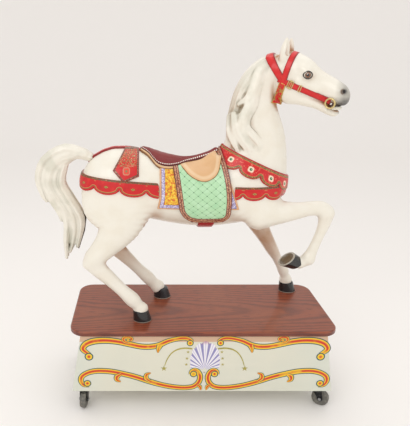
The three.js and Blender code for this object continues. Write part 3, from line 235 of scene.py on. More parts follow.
# %%
def body_forms():
    barrel = [
        [-425, 0, 604, 96, 118], [-375, 0, 598, 116, 146], [-300, 0, 590, 124, 147],
        [-215, 0, 573, 128, 138], [-115, 0, 548, 132, 132], [-10, 0, 538, 136, 134],
        [90, 0, 548, 134, 138], [175, 0, 576, 126, 150], [232, 0, 606, 103, 136],
    ]
    neck = [
        [194, 0, 640, 104, 142], [211, -1, 716, 94, 138], [218, -3, 780, 82, 119],
        [208, -6, 840, 70, 106], [200, -9, 900, 61, 93], [200, -11, 960, 54, 82],
        [219, -13, 1014, 50, 74], [250, -14, 1058, 46, 60],
    ]
    return [chain(barrel, blend=60), chain(neck, blend=70)]

def near_hind():
    return [
        chain([
            [-384, -52, 622, 64, 126], [-372, -78, 552, 62, 148], [-362, -94, 490, 56, 140],
            [-360, -102, 440, 50, 102], [-376, -107, 400, 45, 78], [-402, -110, 362, 41, 62],
            [-434, -113, 325, 36, 51], [-468, -115, 290, 32, 43],
        ], blend=46),
        chain([
            [-484, -115, 272, 30, 42], [-452, -116, 238, 27, 37], [-400, -118, 188, 24, 31],
            [-352, -120, 140, 23, 28], [-308, -122, 96, 27, 33], [-284, -123, 68, 24, 27],
            [-270, -124, 50, 30, 34],
        ], blend=26),
    ]

def far_hind():
    return [
        chain([
            [-384, 52, 622, 64, 126], [-360, 78, 552, 62, 142], [-338, 92, 490, 56, 130],
            [-322, 98, 436, 50, 106], [-326, 101, 392, 45, 82], [-348, 102, 350, 40, 64],
            [-378, 103, 314, 35, 50], [-402, 103, 284, 31, 42],
        ], blend=46),
        chain([
            [-406, 103, 270, 30, 40], [-378, 103, 242, 27, 37], [-330, 103, 194, 24, 31],
            [-284, 103, 146, 23, 27], [-236, 103, 98, 27, 31], [-210, 103, 70, 24, 27],
            [-188, 103, 50, 30, 33],
        ], blend=26),
    ]

def far_fore():
    return [chain([
        [150, 58, 640, 52, 104], [190, 82, 560, 52, 108], [222, 90, 485, 46, 84],
        [252, 95, 420, 40, 60], [288, 102, 350, 34, 41], [324, 115, 290, 30, 33],
        [356, 129, 236, 28, 29], [384, 142, 190, 23, 23], [408, 152, 146, 21, 21],
        [428, 160, 112, 24, 26], [438, 163, 84, 22, 22], [446, 166, 60, 29, 31],
    ], blend=34)]

def near_fore():
    return [
        chain([
            [130, -52, 690, 38, 66], [168, -80, 612, 48, 98], [212, -90, 535, 48, 96],
            [240, -94, 480, 45, 66],
        ], blend=44),
        chain([
            [225, -94, 474, 46, 62], [285, -95, 482, 42, 53], [340, -96, 489, 36, 45],
            [392, -96, 495, 31, 36], [440, -96, 504, 28, 31], [484, -96, 503, 29, 33],
            [508, -96, 488, 29, 34],
        ], blend=30),
        chain([
            [512, -96, 478, 28, 32], [507, -96, 436, 23, 26], [495, -96, 395, 19, 21],
            [480, -96, 350, 18, 20], [466, -96, 308, 20, 23], [456, -96, 280, 24, 27],
        ], blend=16),
        chain([
            [454, -96, 276, 24, 27], [440, -94, 266, 22, 25], [420, -90, 256, 25, 26],
        ], blend=14),
    ]

trunk = [*body_forms(), *near_hind(), *far_hind(), *far_fore(), *near_fore()]
print("chains in the trunk and legs", len(trunk))

# %% [markdown]
# ## The head
# The head looks out over the right shoulder, so it is laid out in a frame of its own: forward along the
# nose, to the left, and up. Cheek bones, eye sockets, nostrils, lips and an open mouth are eggs and chains.

# %%
HEAD_YAW = math.radians(-30)
POLL = np.array([268.0, -12.0])

def on_head(forward, left, up):
    c, s = math.cos(HEAD_YAW), math.sin(HEAD_YAW)
    return [POLL[0] + forward * c - left * s, POLL[1] + forward * s + left * c, up]

HEAD_FORWARD = np.array([math.cos(HEAD_YAW), math.sin(HEAD_YAW), 0.0])
HEAD_LEFT = np.array([-math.sin(HEAD_YAW), math.cos(HEAD_YAW), 0.0])

def head_chain(rows, **options):
    return chain([[*on_head(*r[:3]), *r[3:]] for r in rows], across=HEAD_LEFT, **options)

def head_egg(place, size, **options):
    return egg(on_head(*place), size, across=HEAD_LEFT, yaw=HEAD_YAW, **options)

def skull_forms():
    return [
        head_chain([
            [14, 0, 1060, 45, 58], [60, 0, 1060, 53, 70], [104, 0, 1044, 52, 70],
            [146, 0, 1018, 44, 60], [186, 0, 1003, 36, 52], [226, 0, 989, 33, 45],
            [254, 0, 976, 34, 40], [264, 0, 967, 33, 35],
        ], blend=26),
        head_egg([68, 0, 992], [48, 58, 60], blend=22),
        head_chain([
            [80, 0, 966, 36, 34], [130, 0, 950, 31, 26], [180, 0, 934, 25, 20],
            [222, 0, 914, 21, 18], [243, 0, 903, 19, 14], [254, 0, 904, 17, 11],
        ], blend=16),
    ]

def face_forms():
    out = []
    for s in (-1, 1):
        out += [
            head_egg([130, s * 40, 1062], [15, 28, 14], blend=14, tilt=-0.5),
            head_chain([[108, s * 44, 1020, 8, 9], [180, s * 32, 990, 6, 7]], blend=16),
            head_egg([145, s * 44, 1045], [12, 18, 16], blend=5),
            head_egg([268, s * 22, 984], [13, 19, 15], blend=12),
            head_egg([274, s * 31, 986], [9, 7, 10], blend=5, carve=True),
        ]
    return out + [
        head_egg([277, 0, 951], [26, 15, 17], blend=12),
        head_chain([[238, 0, 930, 15, 6], [262, 0, 926, 14, 5]], blend=3),
        head_chain([[40, 0, 1112, 20, 17], [84, 0, 1112, 19, 16], [126, 0, 1090, 9, 8]], blend=8,
                   grooves=(9, 1.4)),
    ]

def ear_forms():
    out = []
    for s in (-1, 1):
        out += [
            head_chain([
                [44, s * 34, 1104, 16, 20], [47, s * 37, 1136, 15, 18], [49, s * 36, 1160, 10, 13],
                [50, s * 33, 1180, 4, 5],
            ], blend=8),
            head_chain([
                [60, s * 44, 1122, 7, 9], [62, s * 45, 1142, 7, 8], [58, s * 41, 1164, 3, 4],
            ], blend=4, carve=True),
        ]
    return out

print("forms in the head", len(skull_forms()), len(face_forms()), len(ear_forms()))

# %% [markdown]
# ## Hair
# A lock swells from its root and narrows to its tip. Grooves run along it, as a V-gouge leaves them.

# %%
def lock(rows, wide, thick, blend=7, grooves=(5, 1.3)):
    last = len(rows) - 1
    sized = []
    for i, (x, y, z) in enumerate(rows):
        full = math.sin(math.pi * (0.25 + 0.68 * i / last)) ** 0.7
        sized.append([x, y, z, thick * full, wide * full])
    return chain(sized, blend=blend, grooves=grooves)

def mane_forms():
    crest = chain([
        [258, -14, 1100, 30, 18], [206, -14, 1074, 34, 21], [164, -14, 1024, 37, 24],
        [135, -12, 958, 40, 26], [119, -10, 886, 43, 26], [113, -8, 820, 44, 25],
        [116, -5, 768, 42, 20],
    ], blend=18, grooves=(11, 1.6))
    near = [
        lock([[238, -44, 1092], [208, -50, 1062], [186, -56, 1016], [148, -52, 978]], 24, 14),
        lock([[198, -52, 1040], [186, -60, 996], [164, -62, 952], [124, -54, 926]], 25, 15),
        lock([[184, -58, 984], [172, -66, 930], [150, -68, 890], [112, -58, 862]], 26, 15),
        lock([[166, -64, 920], [148, -72, 872], [142, -74, 830], [160, -76, 792], [190, -76, 768]],
             25, 15),
        lock([[140, -66, 886], [150, -74, 838], [184, -80, 800], [210, -82, 768], [210, -84, 734]],
             22, 15),
        lock([[112, -52, 890], [120, -68, 832], [148, -80, 784], [172, -86, 748], [168, -88, 720]],
             22, 15),
        lock([[98, -36, 880], [100, -54, 824], [116, -70, 778], [132, -80, 736]], 21, 14),
    ]
    far = []
    for i in range(4):
        x, y, z = 206 - i * 28, 36 + i * 8, 1062 - i * 84
        far.append(lock([[x + 10, y, z], [x, y + 10, z - 52], [x - 14, y + 12, z - 96],
                         [x + 8, y + 14, z - 150]], 25, 15))
    return [crest, *near, *far]

def tail_forms():
    root = chain([
        [-490, 0, 707, 24, 20], [-545, 0, 723, 30, 26], [-596, 0, 716, 33, 34],
        [-640, 0, 680, 34, 38], [-664, 0, 618, 32, 42], [-650, 0, 556, 32, 42],
        [-616, 0, 496, 31, 42], [-580, 0, 440, 29, 40], [-564, 0, 384, 26, 32],
        [-574, 0, 328, 20, 22],
    ], blend=12, grooves=(7, 1.6))
    paths = [
        [[-506, 722], [-591, 742], [-676, 694], [-706, 614], [-690, 542], [-678, 514]],
        [[-506, 714], [-588, 730], [-660, 680], [-688, 608], [-664, 540], [-634, 482], [-618, 424]],
        [[-540, 716], [-622, 684], [-664, 604], [-640, 536], [-606, 478], [-594, 413], [-602, 328],
         [-603, 250]],
        [[-560, 706], [-620, 660], [-638, 596], [-608, 530], [-574, 470], [-560, 405], [-568, 336],
         [-588, 276]],
        [[-596, 668], [-612, 596], [-578, 525], [-546, 470], [-530, 425], [-538, 366], [-552, 302]],
    ]
    strands = []
    for i, path in enumerate(paths):
        for y in (-15 + (i % 2) * 4, 14):
            strands.append(lock([[x, y, z] for x, z in path], 19, 19))
    return [root, *strands]

print("locks in the mane and tail", len(mane_forms()), len(tail_forms()))

# %% [markdown]
# ## Drawing the carved skin
# The lattice for the whole horse has a cell of 4 mm, so the smallest carved ridge is two cells wide.
# Each point also keeps a few numbers that the colouring needs: how deep in a crease it lies, which
# sets the painted shade, and how near the hair it is.

# %%
def mesh_of(name, points, faces, material, normals=None, attributes=None, uv=None):
    """A mesh object in the part's frame from points in millimetres and arrays of faces."""
    mesh = bpy.data.meshes.new(name)
    co = metres(points)
    sizes = np.concatenate([np.full(len(f), f.shape[1]) for f in faces]).astype(np.int32)
    loops = np.concatenate([np.asarray(f).ravel() for f in faces]).astype(np.int32)
    mesh.vertices.add(len(co))
    mesh.vertices.foreach_set("co", co.ravel())
    mesh.loops.add(len(loops))
    mesh.loops.foreach_set("vertex_index", loops)
    mesh.polygons.add(len(sizes))
    mesh.polygons.foreach_set("loop_start", np.concatenate([[0], np.cumsum(sizes)[:-1]]).astype(np.int32))
    mesh.polygons.foreach_set("use_smooth", np.ones(len(sizes), dtype=bool))
    mesh.update(calc_edges=True)
    for key, values in (attributes or {}).items():
        layer = mesh.attributes.new(key, "FLOAT", "POINT")
        layer.data.foreach_set("value", np.asarray(values, dtype=np.float32).ravel())
    if uv is not None:
        flat_uv = np.reshape(uv, (-1, 2)) / 1000
        mesh.uv_layers.new(name="UVMap").data.foreach_set("uv", flat_uv[loops].ravel())
    if normals is not None:
        mesh.normals_split_custom_set_from_vertices(normals.tolist())
    mesh.materials.append(material)
    obj = bpy.data.objects.new(name, mesh)
    bpy.context.collection.objects.link(obj)
    return obj

def grid_quads(n, m):
    """The quads of a grid of n rows of m points."""
    ids = np.arange(n * m).reshape(n, m)
    return np.stack([ids[:-1, :-1], ids[1:, :-1], ids[1:, 1:], ids[:-1, 1:]], axis=-1).reshape(-1, 4)

def turned(points, quads, toward):
    """The quads, turned over if most of them look away from `toward`."""
    a, b, c = (points[quads[:, k]] for k in range(3))
    against = np.median(np.sum(np.cross(b - a, c - a) * toward, axis=1)) < 0
    return quads[:, ::-1] if against else quads

def outward(points, faces, field):
    """Turns the faces so that they look away from the form."""
    f = faces[0]
    p = points[f[:, :3]]
    n = np.cross(p[:, 1] - p[:, 0], p[:, 2] - p[:, 0])
    away = np.sum(n * field.normal(p.mean(axis=1)), axis=1)
    return faces if np.median(away) > 0 else [g[:, ::-1] for g in faces]

def crease(field, points, normals, radius):
    """0 on open ground, towards 1 deep in a fold of the given size."""
    return np.clip(1 - field.at(points + normals * radius) / radius, 0, 1)

everything = [*trunk, *skull_forms(), *face_forms(), *ear_forms(), *mane_forms()]
horse_field = Field(everything, 4.0)
skin_points, skin_faces = horse_field.surface()
skin_faces = outward(skin_points, skin_faces, horse_field)
skin_normals = horse_field.normal(skin_points)
print("horse lattice", horse_field.n, "points", len(skin_points))

# %% [markdown]
# ## Small tools for painting
# Every finish is a node tree. `add` makes one node and joins it up, and `Val` lets a pattern be written
# as plain arithmetic on distances in millimetres.

# %%
def linear(hexcode):
    """An sRGB hex colour as linear RGBA."""
    channels = [int(hexcode[i:i + 2], 16) / 255 for i in (1, 3, 5)]
    return [c / 12.92 if c <= 0.04045 else ((c + 0.055) / 1.055) ** 2.4 for c in channels] + [1.0]

def add(tree, kind, inputs=None, **settings):
    """One shader node with its settings made and its inputs filled or linked."""
    node = tree.nodes.new("ShaderNode" + kind)
    for key, value in settings.items():
        setattr(node, key, value)
    for key, value in (inputs or {}).items():
        value = value.out if isinstance(value, Val) else value
        if isinstance(value, bpy.types.NodeSocket):
            tree.links.new(value, node.inputs[key])
        else:
            node.inputs[key].default_value = value
    return node

class Val:
    """A number that varies over the surface."""

    def __init__(self, tree, out):
        self.tree, self.out = tree, out

    def op(self, kind, *others):
        inputs = {i: v for i, v in enumerate((self, *others))}
        return Val(self.tree, add(self.tree, "Math", inputs, operation=kind).outputs[0])

    def __add__(self, o): return self.op("ADD", o)
    def __radd__(self, o): return self.op("ADD", o)
    def __sub__(self, o): return self.op("SUBTRACT", o)
    def __rsub__(self, o): return (self * -1.0) + o
    def __mul__(self, o): return self.op("MULTIPLY", o)
    def __rmul__(self, o): return self.op("MULTIPLY", o)
    def __truediv__(self, o): return self.op("DIVIDE", o)
    def abs(self): return self.op("ABSOLUTE")
    def root(self): return self.op("SQRT")
    def least(self, o): return self.op("MINIMUM", o)
    def swing(self, pitch):
        """Distance from the middle of the cell that the point lies in."""
        return (self + pitch / 2).op("FLOORED_MODULO", float(pitch)) - pitch / 2
    def below(self, limit, soft=0.5):
        """1 where the value is under the limit, fading to 0 over `soft`."""
        return self.ramp(limit + soft / 2, limit - soft / 2)
    def ramp(self, zero, one):
        inputs = {0: self, 1: zero, 2: one, 3: 0.0, 4: 1.0}
        return Val(self.tree, add(self.tree, "MapRange", inputs, interpolation_type="SMOOTHSTEP").outputs[0])
    def between(self, low, high, soft=0.5):
        return self.below(high, soft) * self.ramp(low - soft / 2, low + soft / 2)

def hypot(a, b):
    return (a * a + b * b).root()

print("mid grey is", [round(c, 3) for c in linear("#808080")[:3]], "in linear light")

# %% [markdown]
# ## A paint and its coats
# A paint starts from one base colour and takes further colours through masks. Noise is scaled by the
# real size of its marks, and a fine bump gives the brush strokes their height.

# %%
class Paint:
    """A painted material: a base colour, then coats laid over it through masks."""

    def __init__(self, name, base, rough=0.4, metal=0.0, coat=0.0, ior=1.5):
        self.material = bpy.data.materials.new(name)
        self.material.use_nodes = True
        self.tree = self.material.node_tree
        self.shader = self.tree.nodes["Principled BSDF"]
        self.shader.inputs["Roughness"].default_value = rough
        self.shader.inputs["Metallic"].default_value = metal
        self.shader.inputs["Coat Weight"].default_value = coat
        self.shader.inputs["IOR"].default_value = ior
        self.colour = linear(base)

    def attribute(self, name):
        return Val(self.tree, add(self.tree, "Attribute", attribute_name=name).outputs["Fac"])

    def uv(self):
        """Millimetres along and across the piece."""
        split = add(self.tree, "SeparateXYZ", {0: add(self.tree, "UVMap").outputs[0]})
        return [Val(self.tree, split.outputs[i]) * 1000.0 for i in (0, 1)]

    def place(self):
        """Metres in the part's frame."""
        return add(self.tree, "TexCoord").outputs["Object"]

    def xyz(self):
        split = add(self.tree, "SeparateXYZ", {0: self.place()})
        return [Val(self.tree, split.outputs[i]) * 1000.0 for i in range(3)]

    def noise(self, size_mm, detail=2.0, stretch=(1, 1, 1)):
        """Noise with features about `size_mm` across."""
        scale = 1000.0 / size_mm
        mapped = add(self.tree, "Mapping", {0: self.place(), 3: [s * scale for s in stretch]})
        inputs = {"Vector": mapped.outputs[0], "Scale": 1.0, "Detail": detail, "Roughness": 0.5}
        return Val(self.tree, add(self.tree, "TexNoise", inputs).outputs["Fac"])

    def over(self, mask, colour):
        """Lays a colour (hex or socket) over what is there, where the mask is 1."""
        inputs = {0: mask, 6: self.colour, 7: linear(colour) if isinstance(colour, str) else colour}
        self.colour = add(self.tree, "Mix", inputs, data_type="RGBA").outputs[2]
        return self

    def done(self, height=None, depth_mm=1.0):
        if isinstance(self.colour, bpy.types.NodeSocket):
            self.tree.links.new(self.colour, self.shader.inputs["Base Color"])
        else:
            self.shader.inputs["Base Color"].default_value = self.colour
        if height is not None:
            bump = add(self.tree, "Bump", {"Height": height, "Distance": depth_mm / 1000, "Strength": 1.0})
            self.tree.links.new(bump.outputs[0], self.shader.inputs["Normal"])
        return self.material

print("painting tools ready")

# %% [markdown]
# ## The ivory enamel
# Oil enamel over gesso: warm ivory, with peach-brown airbrush and painted shade in the folds and under
# the body, grey-green streaks in the hair and painted shade in its grooves. Airbrush and painted shade
# were worked out at each point; here they only become colour. Fine brush marks and a few worn specks
# keep it from looking cast.

# %%
def ivory_enamel(name="ivory_enamel"):
    p = Paint(name, "#efeadd", rough=0.32, coat=0.35)
    mottle = p.noise(60, 3)
    p.over(mottle.ramp(0.35, 0.7) * 0.35, "#e6ddca")
    # painted shade: brown in the folds, under the body and on the far legs, laid over the airbrush
    brown = p.attribute("brown")
    p.over((brown * (0.75 + mottle * 0.5)).ramp(0.02, 1.0), "#b07a4c")
    hair = p.attribute("hair")
    cloud = p.noise(70, 2)
    p.over(hair * cloud.ramp(0.4, 0.65) * 0.45, "#c2c1ae")
    # painted shade: darker grey-green deep in the grooves of the mane and tail
    p.over(hair * p.attribute("fold").ramp(0.03, 0.4) * 0.6, "#8f8e7b")
    p.over(p.attribute("grey"), "#75736e")
    p.over(p.attribute("dark"), "#1d1a1a")
    speck = p.noise(7, 2).ramp(0.76, 0.79) * p.noise(90, 1).ramp(0.45, 0.6)
    p.over(speck * 0.35, "#9b8f78")
    brush = p.noise(3, 2, stretch=(0.25, 1, 1))
    return p.done(brush, 0.12)

ENAMEL = ivory_enamel()

print("ivory enamel mixed")

# %% [markdown]
# ## Where the airbrush and the painted shade go
# Brown painted shade, over the airbrush, gathers in the wide folds, under the belly, on the inside of the
# far legs, behind the mane and at the hocks; grey-green painted shade fills the grooves of the hair. Grey
# goes on the muzzle and lips, black in the nostrils and the mouth. The horse is drawn as two pieces that
# meet under the girth.

# %%
def airbrush_and_painted_shade(field, points, normals):
    """Where the brown airbrush and painted shade, the grey and the black go, from the shape itself."""
    x, y, z = points.T
    forward = (points[:, 0] - POLL[0]) * HEAD_FORWARD[0] + (points[:, 1] - POLL[1]) * HEAD_FORWARD[1]
    left = (points[:, 0] - POLL[0]) * HEAD_LEFT[0] + (points[:, 1] - POLL[1]) * HEAD_LEFT[1]
    fold = crease(field, points, normals, 9)
    wide = crease(field, points, normals, 34)
    def bell(v, centre, width):
        return np.exp(-((v - centre) / width) ** 2)
    mane = Field(mane_forms(), 8.0).at(points)
    hair = np.clip(1.2 - mane / 6, 0, 1) * (z > 700)
    below = np.clip(-normals[:, 2], 0, 1)
    # painted shade: brown deep in wide folds, under the body, on the far legs' inner faces, behind the mane
    # and at the hocks
    brown = 1.4 * np.clip(wide - 0.05, 0, 1) + 0.35 * below * (z > 380) * (x < 260)
    inward = np.clip(0.35 - normals[:, 1], 0, 1)
    brown += 0.7 * (y > 30) * inward * np.clip((z - 90) / 200, 0, 1) * np.clip((480 - z) / 140, 0, 1)
    brown += 0.5 * hair * np.clip(-normals[:, 0], 0, 1) ** 2 * bell(x, 100, 60)
    brown += 0.25 * bell(z, 300, 60) * (x < -380) * np.clip(-normals[:, 0], 0, 1)
    muzzle = np.clip((forward - 246) / 34, 0, 1) * (z > 900)
    lips = bell(z - 934 - 0.12 * (forward - 250), 0, 20) * (forward > 236) * (z > 900) * (z < 965)
    grey = np.clip(0.6 * muzzle + 0.6 * lips, 0, 1)
    nostril = bell(np.hypot(forward - 279, z - 986), 0, 8) * (np.abs(left) > 16)
    mouth = bell(z - 929 - 0.12 * (forward - 250), 0, 9) * (forward > 222) * (z > 900) * (z < 945)
    dark = np.clip(1.6 * nostril * (forward > 255) + 0.8 * mouth, 0, 1)
    # painted shade: fold also carries the wide creases, where grey-green shade is painted in the hair
    fold = np.maximum(fold, 0.7 * wide)
    return dict(brown=np.clip(brown, 0, 1), hair=hair, fold=fold, grey=grey, dark=dark)

marks = airbrush_and_painted_shade(horse_field, skin_points, skin_normals)

def half(points, faces, keep):
    """The faces whose middle passes the test, with their own points."""
    used = [f[keep(points[f].mean(axis=1))] for f in faces]
    ids = np.unique(np.concatenate([f.ravel() for f in used]))
    index = np.zeros(len(points), dtype=int)
    index[ids] = np.arange(len(ids))
    return ids, [index[f] for f in used]

GIRTH_X = 27.0
HALVES = (("horse_rear", lambda c: c[:, 0] < GIRTH_X), ("horse_front", lambda c: c[:, 0] >= GIRTH_X))
for name, keep in HALVES:
    ids, faces = half(skin_points, skin_faces, keep)
    piece = mesh_of(name, skin_points[ids], faces, ENAMEL, skin_normals[ids],
                    {k: v[ids] for k, v in marks.items()})
    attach(piece, "stand_with_horse")
    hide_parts("horse")
    print(name, "faces", len(piece.data.polygons))

# %% [markdown]
# ## The tail
# The tail is a carving of its own, from the same kind of forms, with a finer lattice for its thin tips.

# %%
tail_field = Field(tail_forms(), 3.2)
tail_points, tail_faces = tail_field.surface()
tail_faces = outward(tail_points, tail_faces, tail_field)
tail_normals = tail_field.normal(tail_points)
# painted shade: brown and grey-green in the tail's creases and grooves, from how deep each point lies in them
tail_wide = np.clip(crease(tail_field, tail_points, tail_normals, 24), 0, 1)
tail_fold = np.maximum(crease(tail_field, tail_points, tail_normals, 9), 0.8 * tail_wide)
zeros = np.zeros(len(tail_points))
tail = mesh_of("carved_tail", tail_points, tail_faces, ENAMEL, tail_normals,
               dict(brown=0.3 * tail_wide, hair=zeros + 1, fold=tail_fold, grey=zeros, dark=zeros))
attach(tail, "stand_with_horse")
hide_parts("tail")
print("tail faces", len(tail.data.polygons))

# %% [markdown]
# ## Laying leather and cloth on the body
# Straps and cloths are shells: from each place on a line or a ring a ray comes in from outside until it
# meets the skin, and stops a little above it. That keeps every strap at an even height, whatever it
# crosses. Each point keeps its millimetres along and across, and its distance from the nearest edge.

# %%
REACH = 330.0
SINK = 6.0
MARCHES, STRIDE, LONGEST, CLOSE = 90, 0.75, 16, 0.1
Z_UP = np.array([0.0, 0.0, 1.0])
X_ALONG = np.array([1.0, 0.0, 0.0])
RIGHT = np.array([0.0, -1.0, 0.0])

def meet(field, origin, direction, level=0.0):
    """Where rays from outside first come within `level` of the surface."""
    shape = np.broadcast_shapes(origin.shape, direction.shape)
    origin, direction = np.broadcast_to(origin, shape), np.broadcast_to(direction, shape)
    far = np.full(shape[:-1], REACH)
    live = np.ones(shape[:-1], dtype=bool)
    level = np.broadcast_to(level, shape[:-1])
    for _ in range(MARCHES):
        p = origin[live] + direction[live] * far[live][:, None]
        d = field.at(p) - level[live]
        go = d > CLOSE
        step = np.where(go, np.clip(d * STRIDE, CLOSE, LONGEST), 0)
        far[live] -= step
        still = go & (far[live] > 4)
        live[live] = still
        if not live.any():
            break
    return origin + direction * far[..., None]

def shell(name, field, origin, direction, height, uv, attributes, material):
    """A slab of `height` over a grid of rays, its walls running down into the body."""
    n, m = origin.shape[:2]
    top = meet(field, origin, direction, height)
    foot = meet(field, origin, direction, -SINK)
    ids, flat_quads = np.arange(n * m).reshape(n, m), grid_quads(n, m)
    rim = np.concatenate([ids[0, :-1], ids[:-1, -1], ids[-1, :0:-1], ids[:0:-1, 0]])
    down = n * m + np.arange(len(rim))
    after = np.roll(np.arange(len(rim)), -1)
    wall = np.stack([rim[after], rim, down, down[after]], axis=-1)
    points = np.concatenate([top.reshape(-1, 3), foot.reshape(-1, 3)[rim]])
    quads = turned(points, flat_quads, direction.reshape(-1, 3)[flat_quads[:, 0]])
    wall = wall if quads is flat_quads else wall[:, ::-1]
    extra = {k: np.concatenate([np.ravel(v), np.ravel(v)[rim]]) for k, v in attributes.items()}
    flat = uv.reshape(-1, 2)
    obj = mesh_of(name, points, [quads, wall], material, attributes=extra,
                  uv=np.concatenate([flat, flat[rim]]))
    smooth = np.arange(len(quads) + len(wall)) < len(quads)
    obj.data.polygons.foreach_set("use_smooth", smooth)
    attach(obj, "stand_with_horse")
    return obj

def rounded(edge, full, roll=4.0):
    """A height that rolls over near the edge."""
    k = np.clip(edge / roll, 0, 1)
    return full - 0.5 * full * (1 - np.sqrt(np.clip(1 - (1 - k) ** 2, 0, 1)))

print("shells sink", SINK, "mm into the body")

# %% [markdown]
# ## Straps with scalloped edges
# A strap goes round the body on spokes from a centre line. Its lower edge hangs in round lobes, and every
# point knows how far it is from that wavy edge, because a straight measure would cut the lobes' braid.

# %%
def scallop(s, pitch, phase, drop):
    """Round lobes, hanging `drop` below their cusps."""
    t = ((s + phase) / pitch) % 1
    return -drop * np.sqrt(np.clip(1 - (2 * np.abs(t) - 1) ** 2, 0, 1))

def to_edges(s, w, low, high):
    """The shortest way from each grid point to the strap's wavy edges."""
    best = np.full(s.shape, 1e3)
    n = s.shape[0]
    for k in range(-14, 15):
        j = np.clip(np.arange(n) + k, 0, n - 1)
        along = (s[j, :1] - s) ** 2
        for line in (low, high):
            best = np.minimum(best, np.sqrt(along + (line[j, None] - w) ** 2))
    return best

def strap(name, field, centre, start, side, across, turns, edges, height, material, step=2.6, roll=4.0):
    """A strap round the body. `start` and `side` span its loop; `across` is its width."""
    angles = np.radians(np.linspace(*turns, 361))
    def spoke(turn):
        return np.cos(turn)[..., None] * start + np.sin(turn)[..., None] * side
    ring = meet(field, np.asarray(centre, dtype=float), spoke(angles))
    run = np.concatenate([[0], np.cumsum(np.linalg.norm(np.diff(ring, axis=0), axis=1))])
    run -= np.interp(0, angles, run) if turns[0] < 0 else 0
    s = np.linspace(run[0], run[-1], int((run[-1] - run[0]) / step) + 1)
    low, high = edges(s)
    low, high = np.broadcast_to(low, s.shape), np.broadcast_to(high, s.shape)
    rows = int(np.max(high - low) / step) + 2
    v = np.linspace(0, 1, rows)
    w = low[:, None] + (high - low)[:, None] * v
    grid_s = np.broadcast_to(s[:, None], w.shape)
    edge = to_edges(grid_s, w, low, high)
    direction = np.broadcast_to(spoke(np.interp(s, run, angles))[:, None, :], (*w.shape, 3))
    origin = np.asarray(centre, dtype=float) + across * w[..., None]
    uv = np.stack([grid_s, w], axis=-1)
    tall = rounded(edge, height, roll)
    lower = w - low[:, None]
    return shell(name, field, origin, direction, tall, uv, dict(edge=edge, lower=lower), material)

print("shell tools ready")


# %% [markdown]
# ## Red and gold bands
# The bands are carved straps with scalloped lower edges. They are enamelled scarlet, edged with a gold
# size line that has been speckled with brown and green so that it reads as braid. A painted oval or a
# jewel on a pale flower sits in each lobe.

# %%
BRAID = (4.0, 12.0)

def braid(p, edge):
    """A speckled gold braid between two distances from the edge."""
    within = edge.between(*BRAID, 1.0)
    p.over(within, "#a8763c")
    fleck = p.noise(4.5, 2)
    p.over(within * fleck.ramp(0.5, 0.56), "#4f5b30")
    p.over(within * fleck.ramp(0.44, 0.4), "#5e2016")
    p.over(within * p.noise(3, 1).ramp(0.62, 0.66), "#e0b25c")

def scarlet(name, coat=0.12):
    p = Paint(name, "#cb0d13", rough=0.34, coat=coat)
    cloud = p.noise(25, 3)
    p.over(cloud.ramp(0.5, 0.75) * 0.35, "#e8402f")
    p.over(cloud.ramp(0.45, 0.25) * 0.5, "#a8141a")
    p.over(p.noise(5, 2).ramp(0.72, 0.76) * 0.25, "#7d3a22")
    return p

def jewelled_band(pitch, phase, lobe_at):
    p = scarlet("jewelled_band")
    s, w = p.uv()
    edge = p.attribute("edge")
    p.over(edge.below(3.0, 1.0) * 0.8, "#b5141a")
    braid(p, edge)
    p.over(edge.between(11.5, 13.5, 1.0) * 0.7, "#f0613f")
    along = (s.abs() + (phase - pitch / 2)).swing(pitch)
    up = w - lobe_at
    far = hypot(along, up)
    petals = far + (hypot(along.abs() - 6.5, up.abs() - 6.5)) * 0.45
    p.over(petals.below(15.0, 2.0), "#e9b79a")
    p.over(petals.below(12.0, 2.0), "#f4dfc4")
    p.over(far.below(5.6, 1.0), "#6d6a3a")
    p.over(far.below(4.4, 0.8), "#0f7a4a")
    p.over(hypot(along + 1.2, up - 1.4).below(1.3, 0.8), "#bfe8c8")
    fine = p.noise(7, 3).ramp(0.6, 0.64) * edge.ramp(13, 15) * petals.ramp(15, 18)
    p.over(fine * 0.7, "#f28a6a")
    return p.done(p.noise(4, 2), 0.15)

def oval_band(name, pitch, phase, lobe_at):
    p = scarlet(name)
    s, w = p.uv()
    edge = p.attribute("edge")
    low = p.attribute("lower")
    p.over(edge.below(2.4, 1.0) * 0.6, "#b5141a")
    top = (edge.between(0.0, 7.0, 1.5)) * low.ramp(30, 34)
    p.over(top, "#7a3a20")
    p.over(top * p.noise(4, 2).ramp(0.5, 0.56), "#3d5b3a")
    p.over(top * p.noise(3, 1).ramp(0.6, 0.66), "#c98a4a")
    wavy = edge.between(7.0, 11.5, 1.0) * low.ramp(34, 30)
    p.over(wavy, "#8a5a30")
    p.over(edge.between(10.8, 12.2, 0.8) * low.ramp(34, 30), "#dca05e")
    along = (s.abs() + (phase - pitch / 2)).swing(pitch)
    up = w - lobe_at
    diamond = along.abs() / 9.0 + up.abs() / 5.0
    p.over(diamond.below(1.3, 0.15), "#7a2a1a")
    p.over(diamond.below(1.05, 0.15), "#c08a3e")
    p.over(diamond.below(0.45, 0.15), "#3f6a3a")
    return p.done(p.noise(4, 2), 0.15)

def sloped(degrees):
    a = math.radians(degrees)
    return dict(start=np.array([math.cos(a), 0, math.sin(a)]), side=RIGHT,
                across=np.array([-math.sin(a), 0, math.cos(a)]))

BAND = 8.0
near, far_leg = near_fore(), far_fore()
shoulders = Field([*body_forms(), near[0], *far_leg], 5.0)
haunches = Field([body_forms()[0], near_hind()[0], far_hind()[0]], 5.0)
barrel = Field([body_forms()[0]], 5.0, margin=80.0)

def breast_foot(s):
    """The breast band's lower edge hangs a little deeper towards the saddle."""
    return -10 - 12 * np.clip((np.abs(s) - 60) / 250, 0, 1) + scallop(np.abs(s), 84, 38, 27)

